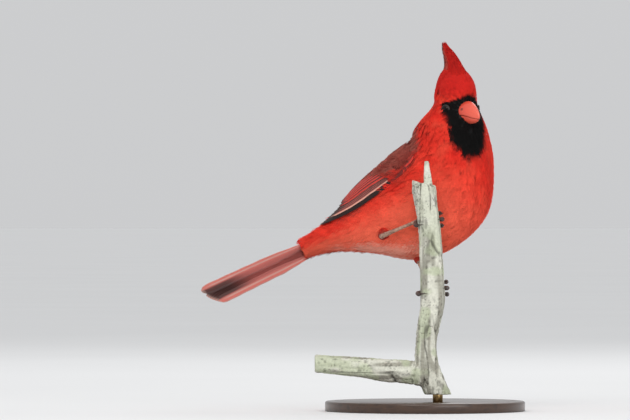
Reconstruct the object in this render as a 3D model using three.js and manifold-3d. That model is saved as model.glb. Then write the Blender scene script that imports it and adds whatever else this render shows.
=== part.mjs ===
// A life-size male northern cardinal, the crested red songbird, clinging to an upright forked length of weathered
// branch, which a short rod holds over a flat round base. Millimetres, +Z up, origin under the middle of the base.
// The body points along +X, the belly and right flank lean towards -Y, and the face looks forward and towards -Y.
import * as THREE from "three";
import { mergeVertices } from "three/addons/utils/BufferGeometryUtils.js";
import Module from "manifold-3d";

const wasm = await Module();
wasm.setup();

// Driving sizes
const GAP = 0.3; // clearance between pieces that touch
const BLADE = 0.6; // thickness of a feather vane
const STEM_Y = -24; // depth of the branch, in front of the base's middle
const BODY_Y = 19; // depth of the bird's spine, behind the branch
const BASE = { radius: 60, height: 6, chamfer: 1.2 };
const ROD = { radius: 3, inBase: 4, inBranch: 9 };
const HEAD = { x: 20.5, y: BODY_Y, z: 183, yaw: 58, pitch: 12 }; // middle of the skull, and the way the bill points
const EYE = { forward: 3.2, side: 9.8, up: -1, radius: 3.1 };
const BILL = { root: 6, tip: 24, halfWidth: 7.2, culmen: 8.7, gonys: 7.5, gape: -4.4, point: -3 };

// Stations of the body's outer form, from the tail's root to the crown: the spine's place (y from BODY_Y), how far its
// section leans over from upright, the half-extents to the back, belly and side, the roll of the back away from the
// viewer, and how full the belly side is.
const BODY = [
  { x: -73, y: 0, z: 96.9, lean: 27, back: 5, belly: 4, side: 8.5, roll: 35, full: 2 },
  { x: -57, y: 0, z: 104.4, lean: 27, back: 7.4, belly: 9, side: 11, roll: 34, full: 2 },
  { x: -39, y: 0, z: 113, lean: 28, back: 15.2, belly: 22, side: 17, roll: 32, full: 2 },
  { x: -21, y: 0, z: 122, lean: 29, back: 21, belly: 39.6, side: 23.5, roll: 32, full: 1.9 },
  { x: -3, y: 0, z: 132, lean: 34, back: 25.6, belly: 44, side: 27, roll: 32, full: 1.9 },
  { x: 12, y: 0, z: 143.5, lean: 46, back: 28.6, belly: 40.4, side: 27, roll: 37, full: 1.9 },
  { x: 18.5, y: 0.6, z: 158, lean: 63, back: 29.5, belly: 27.4, side: 24.7, roll: 46, full: 2 },
  { x: 18.7, y: 2.6, z: 171, lean: 79, back: 21.6, belly: 19.4, side: 20.7, roll: 53, full: 2 },
  { x: 19.3, y: 1.9, z: 183, lean: 88, back: 14.6, belly: 13.4, side: 14.2, roll: 58, full: 1.7 },
  { x: 19, y: 2.4, z: 190.5, lean: 91, back: 13.2, belly: 13.8, side: 12.9, roll: 58, full: 1.7 },
  { x: 18.4, y: 3.4, z: 197, lean: 94, back: 12, belly: 14.2, side: 10.8, roll: 58, full: 1.8 },
  { x: 17.2, y: 5.3, z: 202.5, lean: 97, back: 9, belly: 10.8, side: 7.8, roll: 58, full: 2 },
  { x: 16, y: 7.2, z: 208, lean: 99, back: 3.6, belly: 4.4, side: 3.6, roll: 58, full: 2 },
];
const CUTS = { rump: 1.3, neck: 5.6, head: 6.7 }; // stations at which the form is parted into nodes
const AROUND = 24; // points round the body
const RINGS_PER_STATION = 2;

// The branch: middle line and radius of the upright stem and of the cut side limb (x, z, radius), and the broken top.
const STEM = [
  [7.2, 10.8, 8.2],
  [2.6, 22, 8.4],
  [0.3, 32, 7.2],
  [0, 42, 6.5],
  [2.4, 55, 6.9],
  [4.2, 70, 7.1],
  [3.2, 94, 6.7],
  [1.5, 115, 6.7],
  [-0.7, 131, 7.5],
  [-1.2, 136, 7.4],
];
const LIMB = [
  [3, 20.5, 7.4],
  [-9, 23.6, 7],
  [-26, 25.4, 6.4],
  [-46, 27.6, 5.8],
  [-66, 29, 5.6],
];
const SPLINTER = { x: 2, z: 132, height: 17.5, halfWidth: 3.3, halfDepth: 2.4 };

const radians = THREE.MathUtils.degToRad;
const clamp01 = (t) => THREE.MathUtils.clamp(t, 0, 1);
const mix = THREE.MathUtils.lerp;
const vec = (x, y, z) => new THREE.Vector3(x, y, z);
const UP = vec(0, 0, 1);
const AWAY = vec(0, 1, 0);
const steps = (count) => Array.from({ length: count }, (_, i) => i);

// Value at the place k of a list whose entries stand at 0, 1, 2, ..., joined smoothly
function along(list, k) {
  const i = Math.min(Math.floor(Math.max(k, 0)), list.length - 2);
  const at = (j) => list[Math.min(Math.max(j, 0), list.length - 1)];
  const t = k - i;
  const [a, b, c, d] = [at(i - 1), at(i), at(i + 1), at(i + 2)];
  return b + 0.5 * t * (c - a + t * (2 * a - 5 * b + 4 * c - d + t * (3 * (b - c) + d - a)));
}

// Solids and geometries

function solid(positions, index) {
  const made = new wasm.Manifold(
    new wasm.Mesh({ numProp: 3, vertProperties: new Float32Array(positions), triVerts: new Uint32Array(index) }),
  );
  return made;
}

// A three.js geometry as a solid, its shared corners merged
function solidOf(geometry) {
  const bare = geometry.clone();
  bare.deleteAttribute("normal");
  bare.deleteAttribute("uv");
  const merged = mergeVertices(bare, 1e-4);
  return solid(merged.attributes.position.array, merged.index.array);
}

// A closed solid over rings that have as many points each, with a fan at both ends. Its last half of the columns takes
// the other diagonal where sheet is set, so that the two faces of a thin blade are split alike.
function fromRings(rings, sheet = false) {
  const n = rings[0].length;
  const points = rings.flat();
  const index = [];
  for (let i = 0; i < rings.length - 1; i++) {
    for (let j = 0; j < n; j++) {
      const a = i * n + j;
      const b = i * n + ((j + 1) % n);
      if (sheet && j >= n / 2) index.push(a, b, a + n, b, b + n, a + n);
      else index.push(a, b, b + n, a, b + n, a + n);
    }
  }
  for (const [ring, start] of [
    [rings[0], 0],
    [rings.at(-1), (rings.length - 1) * n],
  ]) {
    const middle = ring.reduce((sum, p) => sum.clone().add(p), vec(0, 0, 0)).divideScalar(n);
    points.push(middle);
    for (let j = 0; j < n; j++) {
      const pair = [start + j, start + ((j + 1) % n)];
      index.push(points.length - 1, ...(start ? pair : pair.reverse()));
    }
  }
  let volume = 0;
  for (let i = 0; i < index.length; i += 3) {
    volume += points[index[i]].dot(points[index[i + 1]].clone().cross(points[index[i + 2]]));
  }
  if (volume < 0) index.reverse();
  return solid(
    points.flatMap((p) => [p.x, p.y, p.z]),
    index,
  );
}

// The largest closed surface of a solid
function largest(made) {
  return made.decompose().sort((a, b) => b.volume() - a.volume())[0];
}

function union(solids) {
  return wasm.Manifold.union(solids);
}

function meshOf(name, made, material) {
  const { numProp, vertProperties, triVerts } = made.getMesh();
  const positions = new Float32Array((vertProperties.length / numProp) * 3);
  for (let i = 0; i < positions.length / 3; i++) {
    positions.set(vertProperties.subarray(i * numProp, i * numProp + 3), i * 3);
  }
  const geometry = new THREE.BufferGeometry();
  geometry.setAttribute("position", new THREE.BufferAttribute(positions, 3));
  geometry.setIndex(new THREE.BufferAttribute(new Uint32Array(triVerts), 1));
  geometry.computeVertexNormals();
  const mesh = new THREE.Mesh(geometry, material);
  mesh.name = name;
  return mesh;
}

const paint = (color, roughness, metalness = 0) =>
  new THREE.MeshStandardMaterial({ color, roughness, metalness, flatShading: true });
const MATERIALS = {
  red: paint(0xd3301f, 0.8),
  wing: paint(0x9a3f34, 0.75),
  tail: paint(0xb9463a, 0.75),
  bill: paint(0xe8614a, 0.45),
  eye: paint(0x140c0a, 0.08),
  leg: paint(0x5a3a33, 0.6),
  claw: paint(0x241a18, 0.4),
  wood: paint(0xb9b7a4, 0.9),
  base: paint(0x3c2a20, 0.5),
  rod: paint(0xb08a4a, 0.3, 1),
};

// The body's form

const field = (name) => BODY.map((station) => station[name]);

// Middle and axes of the body's section at station k: ahead along the spine, back out of the back, right to the right
function section(k) {
  const middle = vec(along(field("x"), k), BODY_Y + along(field("y"), k), along(field("z"), k));
  const lean = radians(along(field("lean"), k));
  const ahead = vec(Math.cos(lean), 0, Math.sin(lean));
  const upward = ahead.clone().cross(AWAY).normalize();
  const depth = upward.clone().cross(ahead);
  const roll = radians(along(field("roll"), k));
  const back = upward.multiplyScalar(Math.cos(roll)).addScaledVector(depth, Math.sin(roll));
  const right = ahead.clone().cross(back);
  return { middle, ahead, back, right };
}

// A point on the form at station k, turned by the angle from the back towards the right side, and grown by lift
function onForm(k, angle, lift = 0) {
  const { middle, back, right } = section(k);
  const [c, s] = [Math.cos(radians(angle)), Math.sin(radians(angle))];
  const power = c < 0 ? along(field("full"), k) : 2;
  const half = along(field(c < 0 ? "belly" : "back"), k);
  const side = along(field("side"), k);
  const reach = (Math.abs(c / half) ** power + Math.abs(s / side) ** power) ** (-1 / power) + lift;
  return middle.addScaledVector(back, c * reach).addScaledVector(right, s * reach);
}

// A place on the body's surface: the point, raised by lift, and the way out
function place(k, angle, lift) {
  const near = 0.05;
  const alongBody = onForm(k + near, angle).sub(onForm(k - near, angle));
  const roundBody = onForm(k, angle + 2).sub(onForm(k, angle - 2));
  const out = alongBody.cross(roundBody).normalize();
  const p = onForm(k, angle);
  if (out.dot(p.clone().sub(section(k).middle)) < 0) out.negate();
  return { p: p.addScaledVector(out, lift), out };
}

// The whole outer form, grown by lift
function form(lift) {
  const last = (BODY.length - 1) * RINGS_PER_STATION;
  const rings = steps(last + 1).map((i) =>
    steps(AROUND).map((j) => onForm(i / RINGS_PER_STATION, (j * 360) / AROUND, lift)),
  );
  return fromRings(rings);
}

// The part of a solid between two stations, with half a gap taken off at each cut
function between(made, from, to) {
  let part = made;
  if (from !== null) {
    const { middle, ahead } = section(from);
    part = part.trimByPlane(ahead.toArray(), middle.dot(ahead) + GAP / 2);
  }
  if (to !== null) {
    const { middle, ahead } = section(to);
    part = part.trimByPlane(ahead.clone().negate().toArray(), -middle.dot(ahead) + GAP / 2);
  }
  return largest(part);
}

// Feathers

// Share of a vane's full width at the share t of its length: a narrow root, parallel edges and a round or pointed end
function vaneShare(t, point) {
  const root = Math.min(1, 0.55 + 1.6 * t);
  const end = clamp01((t - (1 - point)) / point);
  return root * Math.sqrt(Math.max(0.03, 1 - end * end));
}

// A vane through places that each give a point and the way out. tilt raises its left edge and lowers its right one.
function vane(places, width, { tilt = 0, point = 0.35, thickness = BLADE, crown = 0 } = {}) {
  const rings = places.map(({ p, out }, i) => {
    const before = places[Math.max(i - 1, 0)].p;
    const after = places[Math.min(i + 1, places.length - 1)].p;
    const across = after.clone().sub(before).cross(out).normalize();
    const up = across.clone().cross(after.clone().sub(before)).normalize();
    if (up.dot(out) < 0) up.negate();
    const half = (width / 2) * vaneShare(i / (places.length - 1), point);
    const thick = (thickness / 2) * (i === places.length - 1 ? 0.6 : 1);
    const edge = (side) =>
      p
        .clone()
        .addScaledVector(across, side * half)
        .addScaledVector(up, side * tilt * half - Math.abs(side) * crown * half);
    const sides = crown ? [-1, 0, 1] : [-1, 1];
    const top = sides.map((side) => edge(side).addScaledVector(up, thick));
    const under = sides.map((side) => edge(side).addScaledVector(up, -thick));
    return [...top, ...under.reverse()];
  });
  return fromRings(rings, true);
}

// The rump, torso, neck and head are one form with thin cuts.
const whole = form(0);
const wholeGrown = form(GAP);

// Head

const headYaw = radians(HEAD.yaw);
const headPitch = radians(HEAD.pitch);
const faceWay = vec(
  Math.cos(headYaw) * Math.cos(headPitch),
  -Math.sin(headYaw) * Math.cos(headPitch),
  -Math.sin(headPitch),
);
const headRight = faceWay.clone().cross(UP).normalize();
const headUp = headRight.clone().cross(faceWay);
const headMiddle = vec(HEAD.x, HEAD.y, HEAD.z);

// A point of the head, given ahead of the skull's middle, to its right, and above it
function atHead(forward, right, up) {
  return headMiddle
    .clone()
    .addScaledVector(faceWay, forward)
    .addScaledVector(headRight, right)
    .addScaledVector(headUp, up);
}

// Height of the line of the mouth at the share t from the bill's root to its tip: it dips towards the gape
function mouthHeight(t) {
  return mix(BILL.gape, BILL.point, t) + 1.9 * Math.sin(Math.PI * clamp01(t * 1.15)) * (1 - t) - 1.2 * (1 - t) ** 3;
}

// One jaw of the conical bill: upper has the curved culmen over it, lower has the keel, or gonys, under it
function jaw(upper, grow = 0) {
  const rings = steps(11).map((i) => {
    const t = i / 10;
    const taper = Math.sqrt(Math.max(0, 1 - t ** 1.75));
    const depth = (upper ? BILL.culmen * taper : -BILL.gonys * (1 - t) ** 0.72) || 0;
    const half = BILL.halfWidth * (1 - t) ** 0.78 + 0.35 + grow;
    const overhang = upper ? 1 : 0.93;
    const height = depth + Math.sign(depth || (upper ? 1 : -1)) * (0.35 + 2 * grow);
    const seam = mouthHeight(t) + (upper ? 1 : -1) * (GAP / 2 - grow);
    const reach = mix(BILL.root - grow, BILL.tip + grow, t * (upper ? 1 : 0.965));
    const arc = steps(9).map((j) => {
      const a = (Math.PI * j) / 8;
      const ridge = Math.sin(a) ** (upper ? 1.3 : 0.95);
      return atHead(reach, half * overhang * Math.cos(a), seam + height * ridge);
    });
    return arc;
  });
  return fromRings(rings);
}

// Eyes, and the rims of the lids around them
function eyeMiddle(side) {
  return atHead(EYE.forward, side * EYE.side, EYE.up);
}

function ball(middle, radius, sides = 12) {
  return solidOf(new THREE.SphereGeometry(radius, sides, Math.round(sides * 0.6))).translate(middle.toArray());
}

function lidRim(side) {
  const outward = headRight.clone().multiplyScalar(side).addScaledVector(faceWay, 0.42).normalize();
  const rim = new THREE.TorusGeometry(EYE.radius - 0.25, 0.62, 5, 14);
  rim.applyQuaternion(new THREE.Quaternion().setFromUnitVectors(UP, outward));
  return solidOf(rim).translate(eyeMiddle(side).addScaledVector(outward, 1.55).toArray());
}

// A crest feather from its root on the crown to its tip, bowed out on the way
function crestFeather({ root, tip, width, bow }) {
  const count = 5;
  const places = steps(count).map((i) => {
    const t = i / (count - 1);
    const p = root.clone().lerp(tip, t).addScaledVector(bow, Math.sin(Math.PI * t) * 1);
    return { p, out: bow.clone().normalize() };
  });
  return vane(places, width, { point: 0.85, thickness: 0.8 });
}

// The raised crest: rows from the forehead to the nape, each of feathers that rise and lean back to one peak
const CREST = { rows: 5, peakForward: -22, peakUp: 35, front: 9, rear: -13.6 };

function crest() {
  const feathers = [];
  for (const row of steps(CREST.rows)) {
    const t = row / (CREST.rows - 1); // 0 at the forehead, 1 at the rear
    const across = row === CREST.rows - 1 ? 1 : 2;
    for (const lane of steps(across * 2 - 1)) {
      const side = across === 1 ? 0 : lane - 1;
      const forward = mix(CREST.front, CREST.rear, t);
      const root = atHead(forward, side * 4.2, 12.5 - 5 * t * t);
      const climb = mix(0.62, 1, t ** 0.8) * (1 - 0.1 * Math.abs(side));
      const tip = atHead(
        mix(forward, CREST.peakForward, climb) + 3.4 * (1 - t),
        side * mix(1.6, 0.7, t),
        mix(13, CREST.peakUp, climb) - 1.4 * Math.abs(side) * (row % 2),
      );
      const bow = faceWay
        .clone()
        .multiplyScalar(2.4 * (1 - t) - 1.6 * t)
        .addScaledVector(headRight, side * 1.4)
        .addScaledVector(headUp, 0.4);
      feathers.push(crestFeather({ root, tip, width: mix(8, 7, t), bow }));
    }
  }
  return feathers;
}

function headNodes() {
  const bill = [jaw(true), jaw(false)];
  const billRoom = [jaw(true, GAP), jaw(false, GAP)];
  const eyes = [1, -1].map((side) => ball(eyeMiddle(side), EYE.radius));
  const eyeRooms = [1, -1].map((side) => ball(eyeMiddle(side), EYE.radius + GAP));
  const skull = union([between(whole, CUTS.head, null), ...crest(), lidRim(1), lidRim(-1)]);
  const head = largest(skull.subtract(union([...billRoom, ...eyeRooms])));
  const nostrils = union([1, -1].map((side) => ball(atHead(11.4, side * 5.2, 0.5), 0.75, 7)));
  return [
    meshOf("head", head, MATERIALS.red),
    meshOf("bill_upper", largest(bill[0].subtract(nostrils)), MATERIALS.bill),
    meshOf("bill_lower", largest(bill[1]), MATERIALS.bill),
    meshOf("eye_right", eyes[0], MATERIALS.eye),
    meshOf("eye_left", eyes[1], MATERIALS.eye),
  ];
}

// Wings: angle of the folded wing's lower and upper edge at stations 0, 1, 2, ... of the body
const WING = {
  lower: [52, 71, 87, 91, 88, 76],
  upper: [8, 8, 8, 12, 20, 34],
  front: 4.95,
  coreRear: 2.05,
};

// A path on the side of the body from a root to a tip. Each end is a station and the share of the way from the wing's
// lower edge (0) to its upper edge (1); lifts are heights over the body at the root, the middle and the tip.
function wingPath(side, root, tip, lifts, count) {
  return steps(count).map((i) => {
    const t = i / (count - 1);
    const k = mix(root[0], tip[0], t);
    const share = mix(root[1], tip[1], t);
    const angle = mix(along(WING.lower, k), along(WING.upper, k), share);
    return place(k, side * angle, along(lifts, t * 2));
  });
}

// The body of the wing, a thin saddle on the flank that every feather roots in
function wingCore(side) {
  const count = 8;
  const lanes = 6;
  const rings = steps(count).map((i) => {
    const k = mix(WING.coreRear, WING.front, i / (count - 1));
    const inset = i === 0 || i === count - 1 ? 0.16 : 0.04;
    const angleAt = (j) =>
      side * mix(along(WING.lower, k), along(WING.upper, k), mix(inset, 1 - inset, j / (lanes - 1)));
    const over = steps(lanes).map((j) => {
      const swell = Math.sin((Math.PI * (j + 0.6)) / (lanes + 0.2)) * Math.sin((Math.PI * (i + 0.7)) / (count + 0.4));
      return place(k, angleAt(j), 0.7 + 1.3 * swell).p;
    });
    const under = steps(lanes).map((j) => place(k, angleAt(lanes - 1 - j), -0.8).p);
    return [...over, ...under];
  });
  return fromRings(rings, true);
}

// Tiers of a folded wing, the lowest first: how many feathers, the stations of their roots and tips, the shares of the
// wing's width where they start and end, their width and their lifts
const TIERS = [
  { name: "primaries", count: 6, rootK: [3.9, 3.8], tipK: [0.92, 1.85], root: [0.04, 0.2], tip: [0.02, 0.34],
    width: 6.8, lifts: [1.2, 1.3, 1.3], point: 0.22, segments: 5 },
  { name: "secondaries", count: 5, rootK: [3.8, 3.6], tipK: [1.85, 1.98], root: [0.22, 0.66], tip: [0.4, 0.8],
    width: 8.4, lifts: [1.5, 1.9, 1.6], point: 0.2, segments: 4 },
  { name: "tertials", count: 3, rootK: [3.7, 3.7], tipK: [2.05, 2.6], root: [0.72, 0.9], tip: [0.82, 0.93],
    width: 8.6, lifts: [1.8, 2.4, 2.1], point: 0.3, segments: 4 },
  { name: "primary coverts", count: 3, rootK: [4.25, 4.2], tipK: [3.35, 3.45], root: [0.03, 0.14], tip: [0.03, 0.16],
    width: 5, lifts: [1.4, 2.1, 2.1], point: 0.4, segments: 2 },
  { name: "greater coverts", count: 5, rootK: [4.15, 4.15], tipK: [3.3, 3.15], root: [0.24, 0.88], tip: [0.26, 0.9],
    width: 8, lifts: [1.6, 2.5, 2.7], point: 0.4, segments: 2 },
  { name: "median coverts", count: 4, rootK: [4.5, 4.5], tipK: [3.85, 3.8], root: [0.16, 0.86], tip: [0.16, 0.88],
    width: 8.6, lifts: [1.4, 2.6, 3], point: 0.5, segments: 2 },
];

function wing(side) {
  const feathers = TIERS.flatMap((tier) =>
    steps(tier.count).map((i) => {
      const t = tier.count === 1 ? 0 : i / (tier.count - 1);
      const root = [mix(...tier.rootK, t), mix(...tier.root, t)];
      const tip = [mix(...tier.tipK, t), mix(...tier.tip, t)];
      const path = wingPath(side, root, tip, tier.lifts, tier.segments + 1);
      return vane(path, tier.width, { tilt: side * -0.16, point: tier.point });
    }),
  );
  return largest(union([wingCore(side), ...feathers]).subtract(wholeGrown));
}

// Tail: twelve feathers, the middle pair on top and each outer one a step lower and a little shorter
const TAIL = {
  pairs: 6,
  tip: vec(-132, BODY_Y + 17, 69),
  width: 10,
  pitch: 0.42,
  spread: 8.2,
  rootSpread: 6.2,
  slant: 3,
};

function tail() {
  const root = section(0);
  const rearward = TAIL.tip.clone().sub(root.middle).normalize();
  const right = root.right;
  const up = rearward.clone().cross(right).normalize();
  if (up.dot(root.back) < 0) up.negate();
  const start = root.middle.clone().addScaledVector(up, -0.4);
  const reach = TAIL.tip.distanceTo(start);
  const feathers = [];
  for (const pair of steps(TAIL.pairs)) {
    const t = pair / (TAIL.pairs - 1);
    for (const side of [1, -1]) {
      const length = reach * (1 - 0.03 * t * t) + side * TAIL.slant * t;
      const level = TAIL.pitch * ((TAIL.pairs - 1) / 2 - pair) + (side > 0 ? 0.1 : -0.1);
      const places = steps(6).map((i) => {
        const q = i / 5;
        const apart = side * (mix(TAIL.rootSpread, TAIL.spread, q) * (0.22 + 0.78 * t));
        const p = start
          .clone()
          .addScaledVector(rearward, mix(0, length, q))
          .addScaledVector(right, apart)
          .addScaledVector(up, level - 1.2 * q * q + 1.2 * q);
        return { p, out: up };
      });
      feathers.push(vane(places, TAIL.width, { point: 0.09, crown: 0.06 }));
    }
  }
  return between(union(feathers), null, 0);
}

// Branch

// A point on a branch limb's bark: t along its line, the angle from the front round by the right, raised by lift
function barkRadius(radius, angle, z) {
  const a = radians(angle);
  return radius * (1 + 0.045 * Math.sin(2 * a + z / 17) + 0.03 * Math.sin(5 * a - z / 9) + 0.02 * Math.sin(3 * a + z / 4));
}

// The stem's index at height z, its middle there and its radius
function stemAt(z) {
  let k = 0;
  while (k < STEM.length - 1 && along(STEM.map((row) => row[1]), k) < z) k += 0.02;
  return { x: along(STEM.map((row) => row[0]), k), radius: along(STEM.map((row) => row[2]), k) };
}

// A point on the stem at height z: 0 degrees is the front, 90 the right and 180 the back
function onStem(z, angle, lift) {
  const { x, radius } = stemAt(z);
  const reach = barkRadius(radius, angle, z) + lift;
  return vec(x + Math.sin(radians(angle)) * reach, STEM_Y - Math.cos(radians(angle)) * reach, z);
}

function stemSolid(lift) {
  const sides = 14;
  const from = STEM[0][1];
  const to = STEM.at(-1)[1];
  const count = 22;
  const rings = steps(count + 1).map((i) =>
    steps(sides).map((j) => {
      const angle = (j * 360) / sides;
      const z = mix(from - lift, to, i / count);
      const p = onStem(z, angle, lift);
      if (i === count) p.z += 1.1 * Math.cos(radians(angle * 3)) - 1.6 * Math.sin(radians(angle)) + lift;
      return p;
    }),
  );
  return fromRings(rings);
}

function limbSolid() {
  const sides = 12;
  const count = 11;
  const rings = steps(count + 1).map((i) => {
    const k = (i / count) * (LIMB.length - 1);
    const [x, z, radius] = [0, 1, 2].map((c) => along(LIMB.map((row) => row[c]), k));
    return steps(sides).map((j) => {
      const angle = (j * 360) / sides;
      const reach = barkRadius(radius, angle, x);
      return vec(x, STEM_Y - Math.cos(radians(angle)) * reach, z + Math.sin(radians(angle)) * reach);
    });
  });
  return fromRings(rings);
}

// The long splinter left standing where the stem broke
function splinterSolid() {
  const rings = steps(6).map((i) => {
    const t = i / 5;
    const taper = 1 - 0.6 * t ** 1.6;
    return steps(8).map((j) => {
      const a = (Math.PI * 2 * j) / 8;
      return vec(
        SPLINTER.x - 1.6 * t + SPLINTER.halfWidth * taper * Math.cos(a),
        STEM_Y - 1 + SPLINTER.halfDepth * taper * Math.sin(a),
        mix(SPLINTER.z - 4, SPLINTER.z + SPLINTER.height, t),
      );
    });
  });
  return fromRings(rings);
}

// Stand

const footX = STEM[0][0];
const rodFrom = BASE.height - ROD.inBase;
const rodTo = STEM[0][1] + ROD.inBranch;

function rodSolid(grow) {
  const length = rodTo - rodFrom + 2 * grow;
  const shape = new THREE.CylinderGeometry(ROD.radius + grow, ROD.radius + grow, length, 20);
  shape.rotateX(Math.PI / 2);
  return solidOf(shape).translate([footX, STEM_Y, (rodFrom + rodTo) / 2]);
}

function baseSolid() {
  const { radius, height, chamfer } = BASE;
  const outline = [
    [0, 0],
    [radius - chamfer / 2, 0],
    [radius, chamfer / 2],
    [radius, height - chamfer],
    [radius - chamfer, height],
    [0, height],
  ].map(([x, y]) => new THREE.Vector2(x, y));
  const shape = new THREE.LatheGeometry(outline, 48);
  shape.rotateX(Math.PI / 2);
  return solidOf(shape).subtract(rodSolid(GAP));
}

// Legs. Each foot grips the stem from behind: the three front toes go round its right, the hind toe round its left.

// A round tube through points, with a radius at each
function tube(points, radii, sides = 7) {
  const curve = new THREE.CatmullRomCurve3(points, false, "centripetal");
  const count = radii.length;
  const frames = curve.computeFrenetFrames(count - 1, false);
  const rings = steps(count).map((i) => {
    const middle = curve.getPointAt(i / (count - 1));
    return steps(sides).map((j) => {
      const a = (Math.PI * 2 * j) / sides;
      return middle
        .clone()
        .addScaledVector(frames.normals[i], Math.cos(a) * radii[i])
        .addScaledVector(frames.binormals[i], Math.sin(a) * radii[i]);
    });
  });
  return fromRings(rings);
}

const TOE = { radius: 1.15, claw: 0.75, clawArc: 38 };
const LEGS = [
  { name: "right", foot: 114.5, palm: 214, ankle: vec(-26, -9.5, 105), knee: vec(-19, 13, 112), thigh: 7 },
  { name: "left", foot: 73.5, palm: 190, ankle: vec(-3.4, -1, 89.5), knee: vec(-5, 14, 103), thigh: 7.5 },
];
// Toes: end angle on the stem, rise of the end over the palm, whether it is the hind toe
const TOES = [
  { name: "hind", end: 292, rise: -3, claw: 44 },
  { name: "inner", end: 112, rise: 4.2, claw: -34 },
  { name: "middle", end: 84, rise: 0.6, claw: -36 },
  { name: "outer", end: 106, rise: -3.2, claw: -34 },
];

// Points along a toe from the palm to its last joint, or along its claw from there to the point
function toePoints(leg, toe, claw) {
  const count = 7;
  return steps(count).map((i) => {
    const t = i / (count - 1);
    const angle = claw ? toe.end + toe.claw * t : mix(leg.palm, toe.end, t);
    const z = leg.foot + toe.rise * (claw ? 1 - 0.1 * t : Math.sin((Math.PI / 2) * t));
    const arch = claw ? 0.7 * Math.sin(Math.PI * t) - 0.75 * t * t : 0.25 * Math.abs(Math.sin(Math.PI * 3 * t));
    return onStem(z, angle, GAP + TOE.radius + arch);
  });
}

function legNodes(torsoRoom) {
  const stemRoom = stemSolid(GAP);
  return LEGS.flatMap((leg) => {
    const palmMiddle = onStem(leg.foot, leg.palm, GAP + 1.9);
    const toes = TOES.map((toe) => {
      const swell = (i) => TOE.radius * (1 + 0.1 * Math.cos(i * Math.PI)) * (i === 8 ? 0.8 : 1);
      return tube(toePoints(leg, toe, false), steps(9).map(swell));
    });
    const palm = ball(palmMiddle, 1.9);
    const foot = largest(union([palm, ...toes]).subtract(stemRoom));
    const claws = TOES.map((toe) => {
      const taper = (i) => mix(TOE.claw, 0.16, (i / 5) ** 1.2);
      const long = toe.name === "hind" ? 1.15 : 1;
      return tube(toePoints(leg, toe, true), steps(6).map((i) => taper(i) * long), 6);
    });
    const footRoom = ball(palmMiddle, 1.9 + GAP);
    const shank = tube(
      [leg.ankle, leg.ankle.clone().lerp(palmMiddle, 0.5), palmMiddle],
      [1.5, 1.3, 0.95, 0.95, 1.1, 1.35],
    );
    const joint = ball(leg.ankle, 1.65);
    const shin = largest(union([shank, joint]).subtract(footRoom));
    const toKnee = leg.knee.clone().sub(leg.ankle);
    const end = leg.ankle.clone().addScaledVector(toKnee, -0.02);
    const thighForm = tube(
      [end, leg.ankle.clone().addScaledVector(toKnee, 0.5), leg.knee],
      [2, 3.6, 5.2, leg.thigh, leg.thigh],
      10,
    );
    const shinRoom = union([ball(leg.ankle, 1.65 + GAP), tube(
      [leg.ankle, leg.ankle.clone().lerp(palmMiddle, 0.5), palmMiddle],
      [1.5, 1.35, 1.05, 0.95].map((r) => r + GAP),
    )]);
    const thigh = largest(thighForm.subtract(union([torsoRoom, shinRoom])));
    return [
      meshOf(`thigh_${leg.name}`, thigh, MATERIALS.red),
      meshOf(`shank_${leg.name}`, shin, MATERIALS.leg),
      meshOf(`foot_${leg.name}`, foot, MATERIALS.leg),
      ...TOES.map((toe, i) => {
        const claw = largest(claws[i].subtract(union([stemRoom, tubeRoom(leg, toe)])));
        return meshOf(`claw_${leg.name}_${toe.name}`, claw, MATERIALS.claw);
      }),
    ];
  });
}

// The room that a toe's end takes, which its claw stays clear of
function tubeRoom(leg, toe) {
  const swell = (i) => TOE.radius * (1 + 0.1 * Math.cos(i * Math.PI)) * (i === 8 ? 0.8 : 1) + GAP;
  return tube(toePoints(leg, toe, false), steps(9).map(swell));
}

// The model

const model = new THREE.Group();
model.add(...headNodes());
model.add(meshOf("neck", between(whole, CUTS.neck, CUTS.head), MATERIALS.red));
model.add(meshOf("torso", between(whole, CUTS.rump, CUTS.neck), MATERIALS.red));
model.add(meshOf("rump", between(whole, null, CUTS.rump), MATERIALS.red));
model.add(meshOf("wing_right", wing(1), MATERIALS.wing));
model.add(meshOf("wing_left", wing(-1), MATERIALS.wing));
model.add(meshOf("tail", tail(), MATERIALS.tail));
model.add(...legNodes(wholeGrown));

const perch = union([stemSolid(0), limbSolid(), splinterSolid()]).subtract(rodSolid(GAP));
model.add(meshOf("perch", largest(perch), MATERIALS.wood));
model.add(meshOf("stand_base", largest(baseSolid()), MATERIALS.base));
model.add(meshOf("stand_rod", rodSolid(0), MATERIALS.rod));

export default model;
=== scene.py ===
import math

import bpy
import numpy as np
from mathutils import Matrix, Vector, kdtree


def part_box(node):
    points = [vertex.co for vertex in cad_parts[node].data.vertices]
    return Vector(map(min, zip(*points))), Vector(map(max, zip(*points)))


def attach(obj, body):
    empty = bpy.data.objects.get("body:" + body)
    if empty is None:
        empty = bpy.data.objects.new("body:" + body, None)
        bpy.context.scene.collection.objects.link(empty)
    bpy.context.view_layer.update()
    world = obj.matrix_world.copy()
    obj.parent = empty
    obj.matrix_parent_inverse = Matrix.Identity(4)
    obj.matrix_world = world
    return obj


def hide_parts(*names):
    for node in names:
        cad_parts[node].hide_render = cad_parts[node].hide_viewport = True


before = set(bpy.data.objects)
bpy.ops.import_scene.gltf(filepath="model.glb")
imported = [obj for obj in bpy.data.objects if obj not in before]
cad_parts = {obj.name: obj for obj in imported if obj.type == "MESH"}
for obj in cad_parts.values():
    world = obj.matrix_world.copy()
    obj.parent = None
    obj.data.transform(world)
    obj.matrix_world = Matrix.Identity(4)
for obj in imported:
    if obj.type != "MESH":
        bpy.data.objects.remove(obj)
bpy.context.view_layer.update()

# The looks of a life-size male northern cardinal on its perch. Lengths are in millimetres in the solids'
# frame, and become metres when a mesh is made. The first tables repeat the named sizes of the solids.

MM = 0.001
SEED = 11
STEM_Y = -24.0
BODY_Y = 19.0
GAP = 0.3

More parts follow.
